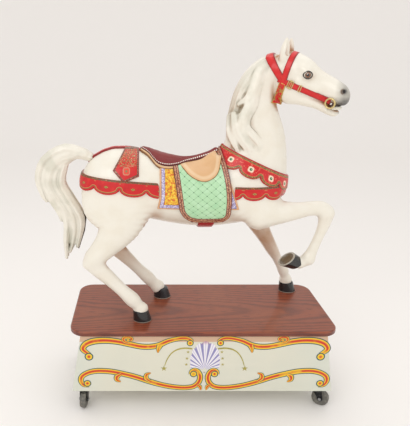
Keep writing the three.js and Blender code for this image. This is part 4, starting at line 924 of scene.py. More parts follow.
breast = strap("breast_band", shoulders, [195, 0, 680], turns=(-176, 176), **sloped(-24.5),
               edges=lambda s: (breast_foot(s), 24), height=BAND, material=jewelled_band(84, 38, -10))
girdle = strap("girdle_band", shoulders, [170, 0, 588], turns=(-112, 112), **sloped(0),
               edges=lambda s: (-14 + scallop(np.abs(s), 90, 75, 24), 18), height=BAND - 2,
               material=oval_band("girdle_band", 90, 75, -8))
rump = strap("rump_band", haunches, [-300, 0, 605], np.array([-0.996, 0, 0.087]), RIGHT,
             np.array([0.087, 0, 0.996]), (-128, 128),
             lambda s: (-12 + scallop(np.abs(s), 103, 60, 28), 22), BAND,
             oval_band("rump_band", 103, 60, -8))
print("bands", [len(o.data.polygons) for o in (breast, girdle, rump)])

# %% [markdown]
# ## Hanging cloths
# A table of rays round the barrel gives the turn at which the surface has a wanted height, so a cloth can
# be cut by its real outline. The under-cloth has a tan line, a lavender border and a yellow field. The
# quilt over it is mint green, stitched in diamonds, with a brown and red braid.

# %%
SPOKES = 590.0

def spoke_starts(x):
    """The places on the spokes' centre line, one for each `x`."""
    return np.stack([x, 0 * x, 0 * x + SPOKES], axis=-1)

class Drape:
    """Finds the ray that meets the surface at a wanted place along and height."""

    def __init__(self, field, low, high):
        self.x = np.linspace(low, high, 70)
        self.turn = np.radians(np.linspace(0, 176, 177))
        origin = spoke_starts(self.x)[:, None, :]
        out = np.stack([0 * self.turn, -np.sin(self.turn), np.cos(self.turn)], axis=-1)[None]
        self.height = np.minimum.accumulate(meet(field, origin, out)[..., 2], axis=1)

    def ray(self, x, z, side=1.0):
        column = np.interp(x, self.x, np.arange(len(self.x)))
        turns = np.stack([np.interp(-np.ravel(z), -h, self.turn) for h in self.height], axis=1)
        c = np.ravel(column)
        i = np.clip(np.floor(c).astype(int), 0, len(self.x) - 2)
        rows = np.arange(len(c))
        t = c - i
        turn = (turns[rows, i] * (1 - t) + turns[rows, i + 1] * t).reshape(np.shape(x))
        origin = spoke_starts(x)
        return origin, np.stack([0 * turn, -side * np.sin(turn), np.cos(turn)], axis=-1)

print("rays are looked up for", SPOKES, "mm spokes")

# %% [markdown]
# ## Tools for cutting cloth
# A cloth is cut between two edge curves, as a saddler cuts it flat, and the table of rays then drapes
# it. The relief of the quilting is added to its height.

# %%
cloth_skin = Field([*body_forms(), near[0], far_leg[0]], 5.0)
cloth_drape = Drape(cloth_skin, -300, 190)

def outline_distance(x, z, outline):
    """The distance from each point to a closed outline of (x, z) places."""
    best = np.full(x.shape, 1e3)
    closed = [*outline, outline[0]]
    for (ax, az), (bx, bz) in zip(closed, closed[1:]):
        px, pz, qx, qz = x - ax, z - az, bx - ax, bz - az
        t = np.clip((px * qx + pz * qz) / (qx * qx + qz * qz + 1e-9), 0, 1)
        best = np.minimum(best, np.hypot(px - t * qx, pz - t * qz))
    return best

def hanging(name, rear, front, top, low, height, material, side, cols=60, rows=90, swell=None):
    """One hanging half of a cloth, from `top` down to `low`, between two edge curves."""
    v = np.linspace(0, 1, rows)
    z = top + (low - top) * v
    u = np.linspace(0, 1, cols)
    xr, xf = rear(z), front(z)
    x = xr[None, :] + (xf - xr)[None, :] * u[:, None]
    zz = np.broadcast_to(z[None, :], x.shape)
    side_outline = [(rear(np.array([h]))[0], h) for h in np.linspace(top + 60, low, 50)]
    side_outline += [(front(np.array([h]))[0], h) for h in np.linspace(low, top + 60, 50)]
    edge = outline_distance(x, zz, side_outline)
    origin, direction = cloth_drape.ray(x, zz, side)
    tall = rounded(edge, height, 3.0)
    if swell:
        tall = tall + swell(x, zz, edge)
    uv = np.stack([x, zz], axis=-1)
    return shell(name, cloth_skin, origin, direction, tall, uv, dict(edge=edge), material)

def cornered(z, low, radius):
    up = np.clip(low + radius - z, 0, radius)
    return radius - np.sqrt(radius * radius - up * up)

DIAMOND = (36.0, 26.0)

def quilt_relief(x, z, edge):
    a = x / DIAMOND[0] + z / DIAMOND[1]
    b = x / DIAMOND[0] - z / DIAMOND[1]
    pillow = np.sqrt(np.abs(np.sin(np.pi * a) * np.sin(np.pi * b)) + 1e-9)
    return 1.6 * pillow * np.clip((edge - 24) / 4, 0, 1)

print("quilt diamonds", DIAMOND, "mm")

# %% [markdown]
# ## The cloths' colours
# Both cloths are painted wood, so their weave and stitches are brush marks with a satin varnish.

# %%
def under_cloth_paint():
    p = Paint("under_cloth", "#e7b48a", rough=0.4, coat=0.3)
    edge = p.attribute("edge")
    p.over(edge.ramp(0, 2) * p.noise(30, 2).ramp(0.4, 0.6) * 0.4, "#d89a5a")
    border = edge.between(7.0, 21.0, 1.0)
    p.over(border, "#a99ac4")
    p.over(border * p.noise(5, 2).ramp(0.5, 0.56), "#e3def0")
    p.over(border * p.noise(4, 2).ramp(0.6, 0.64), "#6a6a9a")
    p.over(edge.between(6.0, 7.6, 0.8), "#8a5a3a")
    centre = edge.ramp(20.5, 21.5)
    p.over(centre, "#e8a51c")
    swirl = p.noise(9, 3)
    p.over(centre * swirl.ramp(0.52, 0.56), "#f7cd3e")
    p.over(centre * swirl.ramp(0.44, 0.4), "#d9641c")
    p.over(centre * p.noise(6, 2).ramp(0.64, 0.67), "#7a5a20")
    p.over(edge.between(20.5, 22.0, 0.8), "#7a4a3a")
    return p.done(p.noise(5, 2), 0.2)

def quilt_paint():
    p = Paint("quilt", "#5a1616", rough=0.38, coat=0.35)
    x, z = p.uv()
    edge = p.attribute("edge")
    p.over(edge.between(3.0, 22.0, 1.0), "#8a4334")
    for at in (7.5, 16.5):
        row = edge.between(at - 3.2, at + 3.2, 1.0)
        p.over(row * p.noise(5, 2).ramp(0.48, 0.54), "#c98f6a")
        p.over(row * p.noise(4, 2).ramp(0.6, 0.64), "#e8c9a0")
    p.over(edge.between(11.0, 13.0, 0.8), "#4a1a16")
    p.over(edge.between(20.5, 22.5, 0.8), "#5a2018")
    field = edge.ramp(22.0, 23.0)
    p.over(field, "#b4ddb0")
    cloud = p.noise(45, 3)
    p.over(field * cloud.ramp(0.5, 0.7) * 0.5, "#c8eac6")
    p.over(field * cloud.ramp(0.45, 0.3) * 0.5, "#98cfa0")
    a = (x / DIAMOND[0] + z / DIAMOND[1]).swing(1.0).abs()
    b = (x / DIAMOND[0] - z / DIAMOND[1]).swing(1.0).abs()
    p.over(field * a.least(b).below(0.035, 0.04) * 0.6, "#7fb07c")
    p.over(field * hypot(a, b).below(0.09, 0.04), "#3f6a4a")
    return p.done(p.noise(4, 2), 0.15)

print("cloth paints mixed")

# %% [markdown]
# ## Laying the cloths
# The four edges come from the lengths along the barrel and heights over the board, in millimetres.
# The girth is a plain red strap round the barrel under the quilt.

# %%
QUILT_LOW, CLOTH_LOW = 456.0, 512.0
CLOTH_THICK, QUILT_THICK = 7.0, 13.0
GIRTH_HALF, GIRTH_THICK = 33, 7.0

def quilt_rear(z):
    return -139 + 0.17 * (678 - z) + cornered(z, QUILT_LOW, 66)

def quilt_front(z):
    return 103 - 45 * np.clip((z - 540) / 200, 0, None) ** 2 - cornered(z, QUILT_LOW, 44)

def cloth_rear(z):
    return -192 - 8 * np.clip((560 - z) / 40, 0, None)

def cloth_front(z):
    return 51 + 0.353 * (750 - z)

under_paint, quilt_finish = under_cloth_paint(), quilt_paint()
for side, tag in ((1.0, "right"), (-1.0, "left")):
    hanging(f"under_cloth_{tag}", cloth_rear, cloth_front, 740, CLOTH_LOW, CLOTH_THICK, under_paint, side)
    hanging(f"quilt_{tag}", quilt_rear, quilt_front, 735, QUILT_LOW, QUILT_THICK,
            quilt_finish, side, 100, 110, quilt_relief)

girth_paint = Paint("girth_leather", "#a3121c", rough=0.4, coat=0.3)
girth_paint.over(girth_paint.noise(12, 3).ramp(0.45, 0.7) * 0.5, "#c01c24")
strap("girth", barrel, [7, 0, 545], Z_UP, RIGHT, X_ALONG, (-180, 180), lambda s: (-GIRTH_HALF, GIRTH_HALF),
      GIRTH_THICK, girth_paint.done(), step=4.0)
print("cloths laid")

# %% [markdown]
# ## The saddle
# The seat is dished, with a cantle behind and a pommel in front. Its top is maroon with a row of white
# stitches inside the rim; under it a tan roll and a tan flap show.

# %%
SEAT_RIM = np.array([[-272, 4], [-240, 17], [-202, 39], [-158, 43], [-114, 35], [-77, 21], [-22, 15],
                     [40, 13], [72, 5]], dtype=float)
SEAT_EDGE = np.array([[-272, 12], [-200, 15], [-90, 18], [-20, 30], [40, 40], [72, 22]], dtype=float)
SEAT_TOP = np.array([[-272, 14], [-255, 20], [-220, 19], [-170, 19], [-110, 26], [-50, 38], [10, 54],
                     [48, 60], [72, 28]], dtype=float)
FLAP = np.array([[-150, 690], [-111, 672], [-76, 642], [-45, 626], [-12, 619], [24, 628], [50, 652],
                 [64, 700]], dtype=float)
FLAP_THICK, FLAP_LEAN = 19.0, math.radians(24)

def eased(rows, x):
    """A smooth curve through rows of [place, value]."""
    last = len(rows) - 1
    i = np.clip(np.searchsorted(rows[:, 0], x) - 1, 0, last - 1)
    wide = rows[i + 1, 0] - rows[i, 0]
    t = np.clip((x - rows[i, 0]) / wide, 0, 1)
    def rise(a, b):
        return (rows[b, 1] - rows[a, 1]) / (rows[b, 0] - rows[a, 0]) * wide
    start, end = rise(np.maximum(i - 1, 0), i + 1), rise(i, np.minimum(i + 2, last))
    bend = (t ** 3 - 2 * t * t + t) * start + (t ** 3 - t * t) * end
    return rows[i, 1] + (rows[i + 1, 1] - rows[i, 1]) * t * t * (3 - 2 * t) + bend

def seat_paint():
    p = Paint("seat_leather", "#780c0c", rough=0.36, coat=0.1, ior=1.4)
    s, w = p.uv()
    edge = p.attribute("edge")
    p.over(p.noise(50, 3).ramp(0.4, 0.7) * 0.5, "#7e1512")
    # painted sheen: the middle of the seat is painted a lighter red
    p.over(edge.ramp(26, 60) * 0.3, "#961d17")
    p.over(edge.below(5.0, 1.5), "#4f120f")
    stitch = hypot(s.swing(9.0) * 0.8, edge - 9.0)
    p.over(stitch.below(2.3, 0.8), "#f3eee2")
    return p.done(p.noise(3, 2), 0.12)

def tan_paint(name="tan_leather"):
    p = Paint(name, "#dcae7c", rough=0.38, coat=0.35)
    edge = p.attribute("edge")
    p.over(p.noise(60, 3).ramp(0.4, 0.7) * 0.5, "#e8bd8c")
    p.over(edge.below(3.0, 1.5), "#8a5a2c")
    p.over(edge.between(8.0, 17.0, 6.0) * 0.45, "#f3dcb8")
    return p.done(p.noise(4, 2), 0.12)

def seat_shell(name, extra, height_at, material, cols=150, rows=70):
    x = np.linspace(SEAT_TOP[0, 0], SEAT_TOP[-1, 0], cols)
    v = np.linspace(-1, 1, rows)
    limit = eased(SEAT_RIM, x) + extra
    turn = np.radians(limit[:, None] * v[None, :])
    xx = np.broadcast_to(x[:, None], turn.shape)
    origin = spoke_starts(xx)
    direction = np.stack([0 * turn, np.sin(turn), np.cos(turn)], axis=-1)
    skin = meet(barrel, origin, direction)
    across = np.linalg.norm(np.diff(skin, axis=1), axis=-1)
    w = np.concatenate([np.zeros((cols, 1)), np.cumsum(across, axis=1)], axis=1)
    rim = skin[:, -1]
    along = np.concatenate([[0], np.cumsum(np.linalg.norm(np.diff(rim, axis=0), axis=1))])
    width = w[:, -1:]
    side_edge = np.minimum(w, width - w)
    ends = np.minimum(xx - x[0], x[-1] - xx) * 1.4
    edge = np.minimum(side_edge, ends)
    tall = height_at(xx, np.abs(v)[None, :] * np.ones_like(xx), edge)
    uv = np.stack([np.broadcast_to(along[:, None], xx.shape), w - width / 2], axis=-1)
    return shell(name, barrel, origin, direction, tall, uv, dict(edge=edge), material)

def seat_height(x, k, edge):
    tall, rim = eased(SEAT_TOP, x), eased(SEAT_EDGE, x)
    return rounded(edge, tall + (rim - tall) * k ** 1.6, 4.0)

seat_shell("saddle_seat", 0, seat_height, seat_paint())
ROLL_OUT, ROLL_THICK, ROLL_ROUND = 5, 11.5, 10.0
seat_shell("saddle_roll", ROLL_OUT, lambda x, k, edge: rounded(edge, ROLL_THICK, ROLL_ROUND),
           tan_paint("tan_roll"))

print("seat and roll laid")

# %% [markdown]
# ## The flaps
# A tan flap hangs from under the pommel on each side. Near the seat it leans on the seat's wall, and
# lower down it keeps an even thickness.

# %%
flap_finish = tan_paint()
flap_skin = Field([*body_forms(), near[0], far_leg[0]], 5.0, margin=80.0)
for side, tag in ((1.0, "right"), (-1.0, "left")):
    x = np.linspace(FLAP[0, 0], FLAP[-1, 0], 110)[:, None]
    v = np.linspace(0, 1, 60)[None, :]
    xx = np.broadcast_to(x, (110, 60))
    low_ray = cloth_drape.ray(x[:, 0], eased(FLAP, x[:, 0]), side)[1]
    turn = np.radians(8) * (1 - v) + np.arctan2(np.abs(low_ray[:, 1]), low_ray[:, 2])[:, None] * v
    origin = spoke_starts(xx)
    direction = np.stack([0 * turn, -side * np.sin(turn), np.cos(turn)], axis=-1)
    skin = meet(flap_skin, origin, direction)
    outline = list(zip(skin[:, -1, 0], skin[:, -1, 2]))
    outline += [(outline[-1][0], 760), (outline[0][0], 760)]
    edge = outline_distance(skin[..., 0], skin[..., 2], outline)
    uv = np.stack([skin[..., 0], skin[..., 2]], axis=-1)
    lift = np.linalg.norm(skin - meet(barrel, origin, direction), axis=-1)
    wall = np.clip(eased(SEAT_EDGE, x) - 1.5 - lift, 2.0, None)
    lean = np.clip(1 - (turn - np.radians(eased(SEAT_RIM, x)) - 0.03) / FLAP_LEAN, 0, 1)
    thick = FLAP_THICK + (wall - FLAP_THICK) * lean ** 1.3
    shell(f"saddle_flap_{tag}", flap_skin, origin, direction, rounded(edge, thick, 7.0), uv,
          dict(edge=edge), flap_finish)
print("saddle made")

# %% [markdown]
# ## The crupper and its pendants
# A red strap runs along the ridge of the croup, and a five-sided red pendant hangs on each side of it.

# %%
def crupper_paint():
    p = scarlet("crupper")
    edge = p.attribute("edge")
    p.over(edge.below(4.0, 1.5) * 0.8, "#7d1a16")
    return p.done()

strap("crupper", haunches, [-380, 0, 600], Z_UP, np.array([-1.0, 0, 0]), RIGHT, (-50, 52),
      lambda s: (-15, 15), 7.5, crupper_paint())

def pendant_paint():
    p = scarlet("pendant")
    x, z = p.uv()
    edge = p.attribute("edge")
    upper = z.ramp(676, 684)
    p.over(upper * p.noise(6, 2).ramp(0.53, 0.58), "#c08a58")
    p.over(upper * p.noise(5, 2).ramp(0.58, 0.62), "#4a7a4a")
    p.over(upper * p.noise(4, 2).ramp(0.64, 0.68), "#f0c9a8")
    dx, dz = x + 328, z - 664
    far = hypot(dx, dz)
    petals = far + hypot(dx.abs() - 8, dz.abs() - 8) * 0.5
    lower = upper * -1.0 + 1.0
    p.over(lower * petals.below(19, 2), "#c98a6a")
    p.over(lower * petals.below(14, 2), "#e2452f")
    p.over(far.below(4.5, 1), "#8a7a4a")
    p.over(edge.below(7.5, 1.0), "#6d3a2a")
    p.over(edge.below(7.5, 1.0) * p.noise(4, 2).ramp(0.52, 0.58), "#a8866a")
    p.over(edge.below(2.0, 1.0), "#9a1a1a")
    return p.done(p.noise(4, 2), 0.15)

haunch_drape = Drape(haunches, -420, -240)
PENDANT = [(-336, 744), (-277, 742), (-277, 646), (-340, 622), (-383, 668)]
pendant_finish = pendant_paint()
for side, tag in ((1.0, "right"), (-1.0, "left")):
    u = np.linspace(0, 1, 44)
    v = np.linspace(0, 1, 50)[None, :]
    top = np.stack([np.interp(u, [0, 1], [PENDANT[0][0], PENDANT[1][0]]),
                    np.interp(u, [0, 1], [PENDANT[0][1], PENDANT[1][1]])], axis=-1)
    foot = np.stack([np.interp(u, [0, 0.42, 1], [PENDANT[4][0], PENDANT[3][0], PENDANT[2][0]]),
                     np.interp(u, [0, 0.42, 1], [PENDANT[4][1], PENDANT[3][1], PENDANT[2][1]])], axis=-1)
    x = top[:, :1] * (1 - v) + foot[:, :1] * v
    z = top[:, 1:] * (1 - v) + foot[:, 1:] * v
    edge = outline_distance(x, z, PENDANT)
    origin, direction = haunch_drape.ray(x, z, side)
    shell(f"pendant_{tag}", haunches, origin, direction, rounded(edge, 9.0, 3.0),
          np.stack([x, z], axis=-1), dict(edge=edge), pendant_finish)
print("crupper made")

# %% [markdown]
# ## The bridle
# Red straps cross behind the eye: one over the poll, one across the brow and one under the throat. The
# cheek strap runs down to the bit ring. Gilt buckles and keepers sit on it.

# %%
def bridle_paint():
    p = scarlet("bridle_leather", coat=0.2)
    edge = p.attribute("edge")
    p.over(edge.below(2.2, 1.2) * 0.8, "#8a141c")
    p.over(edge.ramp(5, 9) * 0.3, "#e8262a")
    return p.done()

head_skin = Field([body_forms()[1], *skull_forms()], 3.5)
bridle_finish = bridle_paint()
BRIDLE = 5.2

poll_skin = Field([body_forms()[1], *skull_forms(), *mane_forms()], 4.0)

def head_loop(name, skin, at, direction, turns, half):
    forward, up = at
    f, u = np.array(direction) / np.hypot(*direction)
    strap(name, skin, on_head(forward, 0, up), HEAD_FORWARD * f + Z_UP * u, -HEAD_LEFT,
          HEAD_FORWARD * u - Z_UP * f, turns, lambda s: (-half, half), BRIDLE, bridle_finish,
          step=2.0, roll=3.0)

head_loop("poll_strap", poll_skin, (26, 1056), (-0.537, 0.843), (-134, 134), 14)
head_loop("brow_strap", head_skin, (64, 1060), (0.26, 0.966), (-134, 134), 12)

CHEEK = ((32.0, 1028.0), (232.0, 946.0))
THROAT = ((52.0, 1016.0), (24.0, 930.0))

def on_line(line, t, w, side):
    """A place on a side strap's line, `w` to one side of it, and the ray that finds it."""
    (fa, ua), (fb, ub) = line
    size = math.hypot(fb - fa, ub - ua)
    f = fa + (fb - fa) * t + w * (ua - ub) / size
    u = ua + (ub - ua) * t + w * (fb - fa) / size
    origin = np.stack([POLL[0] + f * HEAD_FORWARD[0], POLL[1] + f * HEAD_FORWARD[1], u + 0 * f], axis=-1)
    return origin, np.broadcast_to(-HEAD_LEFT * side, origin.shape)

def side_strap(name, line, half, side, rows, material):
    t, w = np.linspace(0, 1, rows)[:, None], np.linspace(-half, half, 14)[None, :]
    tt, ww = np.broadcast_to(t, (rows, 14)), np.broadcast_to(w, (rows, 14))
    length = math.dist(*line)
    edge = np.minimum(half - np.abs(ww), np.minimum(tt, 1 - tt) * length)
    origin, direction = on_line(line, tt, ww, side)
    shell(name, head_skin, origin, direction, rounded(edge, BRIDLE, 3.0),
          np.stack([tt * length, ww], axis=-1), dict(edge=edge), material)

def patch_paint():
    """The throat strap carries a gold-flecked patch, edged with gold."""
    p = scarlet("throat_patch")
    s, w = p.uv()
    p.over(p.attribute("edge").below(3.0, 1.0), "#c9a24a")
    inner = s.between(8.0, 78.0, 4.0)
    p.over(inner * p.noise(7, 2).ramp(0.54, 0.6), "#a88a3a")
    p.over(inner * p.noise(5, 2).ramp(0.62, 0.66), "#4d6a34")
    p.over(s.below(7.0, 1.5), "#d8b860")
    return p.done(p.noise(4, 2), 0.15)

PATCH = patch_paint()
for side, tag in ((1.0, "right"), (-1.0, "left")):
    side_strap(f"throat_strap_{tag}", THROAT, 15.0, side, 50, PATCH)
    side_strap(f"cheek_strap_{tag}", CHEEK, 12.0, side, 110, bridle_finish)
print("cheek strap", round(math.dist(*CHEEK)), "mm long")

# %% [markdown]
# ## Gilt metalwork
# The bit rings and buckles are brass, lacquered. Each buckle is a rounded frame bent to the cheek.

# %%
def gilt():
    p = Paint("gilt_brass", "#d9c48a", rough=0.3, metal=0.75)
    p.over(p.noise(8, 3).ramp(0.5, 0.7) * 0.4, "#a98a4a")
    return p.done()

GILT = gilt()

GUIDE = (0.31, 0.2, 0.93)

def tube(name, path, radius, material, sides=10):
    """A round bar bent into a closed ring, along places in millimetres."""
    path = np.asarray(path, dtype=float)
    n = len(path)
    ahead = np.roll(path, -1, axis=0) - np.roll(path, 1, axis=0)
    ahead /= np.linalg.norm(ahead, axis=1, keepdims=True)
    guide = np.cross(ahead, GUIDE)
    guide /= np.linalg.norm(guide, axis=1, keepdims=True)
    other = np.cross(ahead, guide)
    a = np.linspace(0, 2 * np.pi, sides, endpoint=False)[None, :, None]
    points = path[:, None] + radius * (np.cos(a) * guide[:, None] + np.sin(a) * other[:, None])
    ids = np.arange(n * sides).reshape(n, sides)
    nxt = np.roll(ids, -1, axis=0)
    quads = np.stack([ids, np.roll(ids, -1, axis=1), np.roll(nxt, -1, axis=1), nxt], axis=-1).reshape(-1, 4)
    obj = mesh_of(name, points.reshape(-1, 3), [quads], material)
    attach(obj, "stand_with_horse")

BIT_PLACE, BIT_RING, BIT_WIRE, BIT_FLARE = (234, 37, 941), 18.0, 3.4, 8.0
for side, tag in ((-1, "right"), (1, "left")):
    a = np.linspace(0, 2 * np.pi, 48, endpoint=False)
    yaw = HEAD_YAW + math.radians(BIT_FLARE) * side
    flat = np.array([math.cos(yaw), math.sin(yaw), 0])
    centre = np.array(on_head(BIT_PLACE[0], side * BIT_PLACE[1], BIT_PLACE[2]))
    tube(f"bit_ring_{tag}", centre + BIT_RING * (np.cos(a)[:, None] * flat + np.sin(a)[:, None] * Z_UP),
         BIT_WIRE, GILT)

def buckle(name, t, half_long, half_wide, side, bar=1.6):
    """A rounded frame across the cheek strap, at the share `t` of its length."""
    a = np.linspace(0, 2 * np.pi, 40, endpoint=False)
    length = math.dist(*CHEEK)
    box = np.maximum(np.abs(np.cos(a)), np.abs(np.sin(a))) ** 0.7
    along, across = half_long * np.cos(a) / box, half_wide * np.sin(a) / box
    origin, direction = on_line(CHEEK, t + along / length, across, side)
    tube(name, meet(head_skin, origin, direction, BRIDLE + 0.8), bar, GILT, sides=8)

for side, tag in ((1.0, "right"), (-1.0, "left")):
    buckle(f"buckle_{tag}", 0.25, 10, 15, side, 2.0)
    buckle(f"buckle_bar_{tag}", 0.25, 3.5, 12, side, 1.5)
    buckle(f"keeper_{tag}", 0.43, 4, 12.5, side, 1.8)
print("bit rings", BIT_RING, "mm in radius")

# %% [markdown]
# ## Eyes
# The eyes are painted: an amber iris, a dark pupil with a highlight and dark lids with a tear corner.

# %%
def eye_paint():
    p = Paint("painted_eye", "#e6ddcb", rough=0.12, coat=0.8)
    u, v = p.uv()
    far = hypot(u - 1.2, v)
    p.over(far.below(11.2, 1.0), "#3a2214")
    p.over(far.below(9.6, 1.4), "#8f5a34")
    p.over(far.below(7.4, 2.0), "#6b3a1c")
    p.over(far.below(5.2, 1.0), "#120c0a")
    p.over(hypot(u + 1.5, v - 3.4).below(1.5, 0.8), "#f5f1e8")
    return p.done()

EYE_FINISH = eye_paint()
LID = Paint("eyelid", "#33261f", rough=0.4, coat=0.3).done()
EYE = dict(place=(145, 49, 1045), long=16.0, tall=13.5, bulge=8.5, lid=2.2, lid_out=4.5)
for side, tag in ((-1, "right"), (1, "left")):
    centre = np.array(on_head(EYE["place"][0], side * EYE["place"][1], EYE["place"][2]))
    rings, turns = np.linspace(0, 1, 14)[:, None], np.linspace(0, 2 * np.pi, 33)[None, :]
    along, up = EYE["long"] * rings * np.cos(turns), EYE["tall"] * rings * np.sin(turns)
    out = EYE["bulge"] * np.sqrt(1 - (rings * 0.94) ** 2) + 0 * turns
    points = (centre + along[..., None] * HEAD_FORWARD + up[..., None] * Z_UP
              + (side * out)[..., None] * HEAD_LEFT)
    quads = grid_quads(*points.shape[:2])
    quads = quads if side < 0 else quads[:, ::-1]
    ball = mesh_of(f"eye_{tag}", points.reshape(-1, 3), [quads], EYE_FINISH,
                   uv=np.stack([along, up], axis=-1))
    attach(ball, "stand_with_horse")
    a = np.linspace(0, 2 * np.pi, 40, endpoint=False)
    squash = 1 - 0.25 * np.clip(-np.cos(a), 0, 1)
    rim = centre + (EYE["long"] + 1.0) * np.cos(a)[:, None] * HEAD_FORWARD
    rim = rim + ((EYE["tall"] + 0.6) * np.sin(a) * squash)[:, None] * Z_UP + side * EYE["lid_out"] * HEAD_LEFT
    tube(f"eyelid_{tag}", rim, EYE["lid"], LID, sides=8)

print("eyes set", EYE["place"])

# %% [markdown]
# ## Teeth
# The lower teeth are one low arch of enamelled wood inside the open mouth, lined between the teeth.

# %%
TEETH = Paint("tooth_enamel", "#e9e4d4", rough=0.3, coat=0.3)
TEETH.over(TEETH.xyz()[1].swing(5.0).abs().below(0.3, 0.3) * 0.4, "#8a7f6c")
bite = np.linspace(0, 2 * np.pi, 30, endpoint=False)
arch = [on_head(251 + 15 * math.cos(t), 13 * math.sin(t), 921 + 2.0 * math.cos(t)) for t in bite]
tube("lower_teeth", arch, 6.5, TEETH.done(), sides=10)

# %% [markdown]
# ## Hooves
# Black enamelled hooves with a thin pale line at the ground, a soft coronet above and a hollow brown sole
# on the lifted one.

# %%
HOOF = dict(high=50.0, sole=35.0, coronet=28.0, long=1.18, lean=-9.0)
HOOF_GAP = 0.3

def hoof_paint():
    p = Paint("hoof_enamel", "#101114", rough=0.22, coat=0.5)
    s, h = p.uv()
    p.over(p.noise(12, 3).ramp(0.5, 0.7) * 0.5, "#1c1e22")
    p.over(h.below(3.2, 1.0), "#a9a294")
    p.over(h.ramp(200, 201), "#6b5a44")
    p.over(h.between(198, 201, 1.0), "#b8b2a4")
    return p.done(p.noise(10, 2, stretch=(1, 1, 0.3)), 0.2)

HOOF_FINISH = hoof_paint()

def hoof(name, place, high, lean, basis=None, hollow=False):
    """A hoof of oval rings, from its sole up to a rounded coronet."""
    rows = [(0.0, HOOF["sole"] - 1.0, 0.0), (1.2, HOOF["sole"], 1.2)]
    for t in np.linspace(0.06, 0.94, 14):
        rows.append((t * high, HOOF["sole"] + (HOOF["coronet"] - HOOF["sole"]) * t, t * high))
    rows += [(high - 1.0, HOOF["coronet"] - 1.0, high - 1), (high, HOOF["coronet"] - 4.0, high)]
    if hollow:
        dish = [(8.0, 4.0), (7.6, 14.0), (6.0, 22.0), (1.5, 27.5), (0.0, 28.6)]
        inner = [(z, r, 210.0 if z > 0.5 else 199.0) for z, r in dish]
        rows = [*inner, (0.0, HOOF["sole"] - 1.2, 199.0), *rows]
    a = np.linspace(0, 2 * np.pi, 64, endpoint=False)
    z = np.array([r[0] for r in rows])[:, None] + 0 * a
    radius = np.array([r[1] for r in rows])[:, None]
    x = radius * HOOF["long"] * np.cos(a) + lean * z / high
    y = radius * np.sin(a)
    local = np.stack([x, y, z], axis=-1)
    basis = np.eye(3) if basis is None else basis
    points = (local @ basis.T + np.asarray(place)).reshape(-1, 3)
    ids = np.arange(len(rows) * len(a)).reshape(len(rows), len(a))
    nxt = np.roll(ids, -1, axis=1)
    quads = np.stack([ids[:-1], nxt[:-1], nxt[1:], ids[1:]], axis=-1).reshape(-1, 4)
    lid, foot = ids[-1][None, :], ids[0][::-1][None, :]
    height = np.repeat([r[2] for r in rows], len(a))
    uv = np.stack([np.tile(a * 30, len(rows)), height], axis=-1)
    obj = mesh_of(name, points, [quads, lid, foot], HOOF_FINISH, uv=uv)
    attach(obj, "stand_with_horse")

for tag, x, y in (("near_hind", -262, -126), ("far_hind", -166, 103), ("far_fore", 458, 167)):
    hoof(f"hoof_{tag}", (x, y, HOOF_GAP), HOOF["high"], HOOF["lean"])
LIFT_SOLE = np.array([358.0, -102.0, 279.0])
LIFT_FACING = np.array([-0.6, -0.15, 0.79])
LIFT_TOE = np.array([-0.77, -0.19, -0.62])
up = -LIFT_FACING / np.linalg.norm(LIFT_FACING)
ahead = LIFT_TOE - up * LIFT_TOE.dot(up)
ahead /= np.linalg.norm(ahead)
LIFT_HIGH, LIFT_LEAN = 57.0, -26.0
hoof("hoof_near_fore", LIFT_SOLE, LIFT_HIGH, LIFT_LEAN, np.stack([ahead, np.cross(up, ahead), up], axis=-1),
     hollow=True)
print("head and hooves dressed")

# %% [markdown]
# ## The oak board
# Plain-sawn oak, stained red-brown and varnished. Cathedral grain comes from the growth rings: a plank is
# a slice through long cones, so the rings are distances from a slightly tilted heart line.

# %%
def oak():
    p = Paint("stained_oak", "#94492b", rough=0.36, coat=0.25)
    x, y, z = p.xyz()
    warp = p.noise(500, 2, stretch=(0.35, 1, 1))
    heart = hypot(y - 30.0 + warp * 160.0, x * 0.05 + z * 0.4 + 60.0)
    rings = (heart / 13.0 + p.noise(90, 3, stretch=(0.3, 1, 1)) * 1.2).swing(1.0).abs() * 2.0
    p.over(rings.ramp(0.3, 0.95) * 0.75, "#682c1a")
    p.over(p.noise(420, 1).ramp(0.4, 0.7) * 0.4, "#a3603f")
    pores = p.noise(3.0, 2, stretch=(0.06, 1, 1)).ramp(0.54, 0.66)
    p.over(pores * 0.7, "#4e2016")
    p.over(p.noise(160, 3, stretch=(0.2, 1, 1)).ramp(0.5, 0.75) * 0.3, "#65301f")
    p.over(z.below(395.0, 4.0) * 0.55, "#4d1a18")
    return p.done(pores, 0.12)

def repaint(node, material):
    """Gives a CAD node its finish."""
    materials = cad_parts[node].data.materials
    materials.clear()
    materials.append(material)

repaint("platform_board", oak())
print("board stained")

# %% [markdown]
# ## The painted box
# Satin cream paint over boards, a little grey-green towards the ends, with a painted shadow in tan under
# the overhang of the board.

# %%
PANEL_LOW, PANEL_HIGH = corners("box_front")
PANEL_TOP = PANEL_HIGH.z * 1000
PANEL_MIDDLE = 71.0
OVERHANG_SHADOW_MM = 30.0

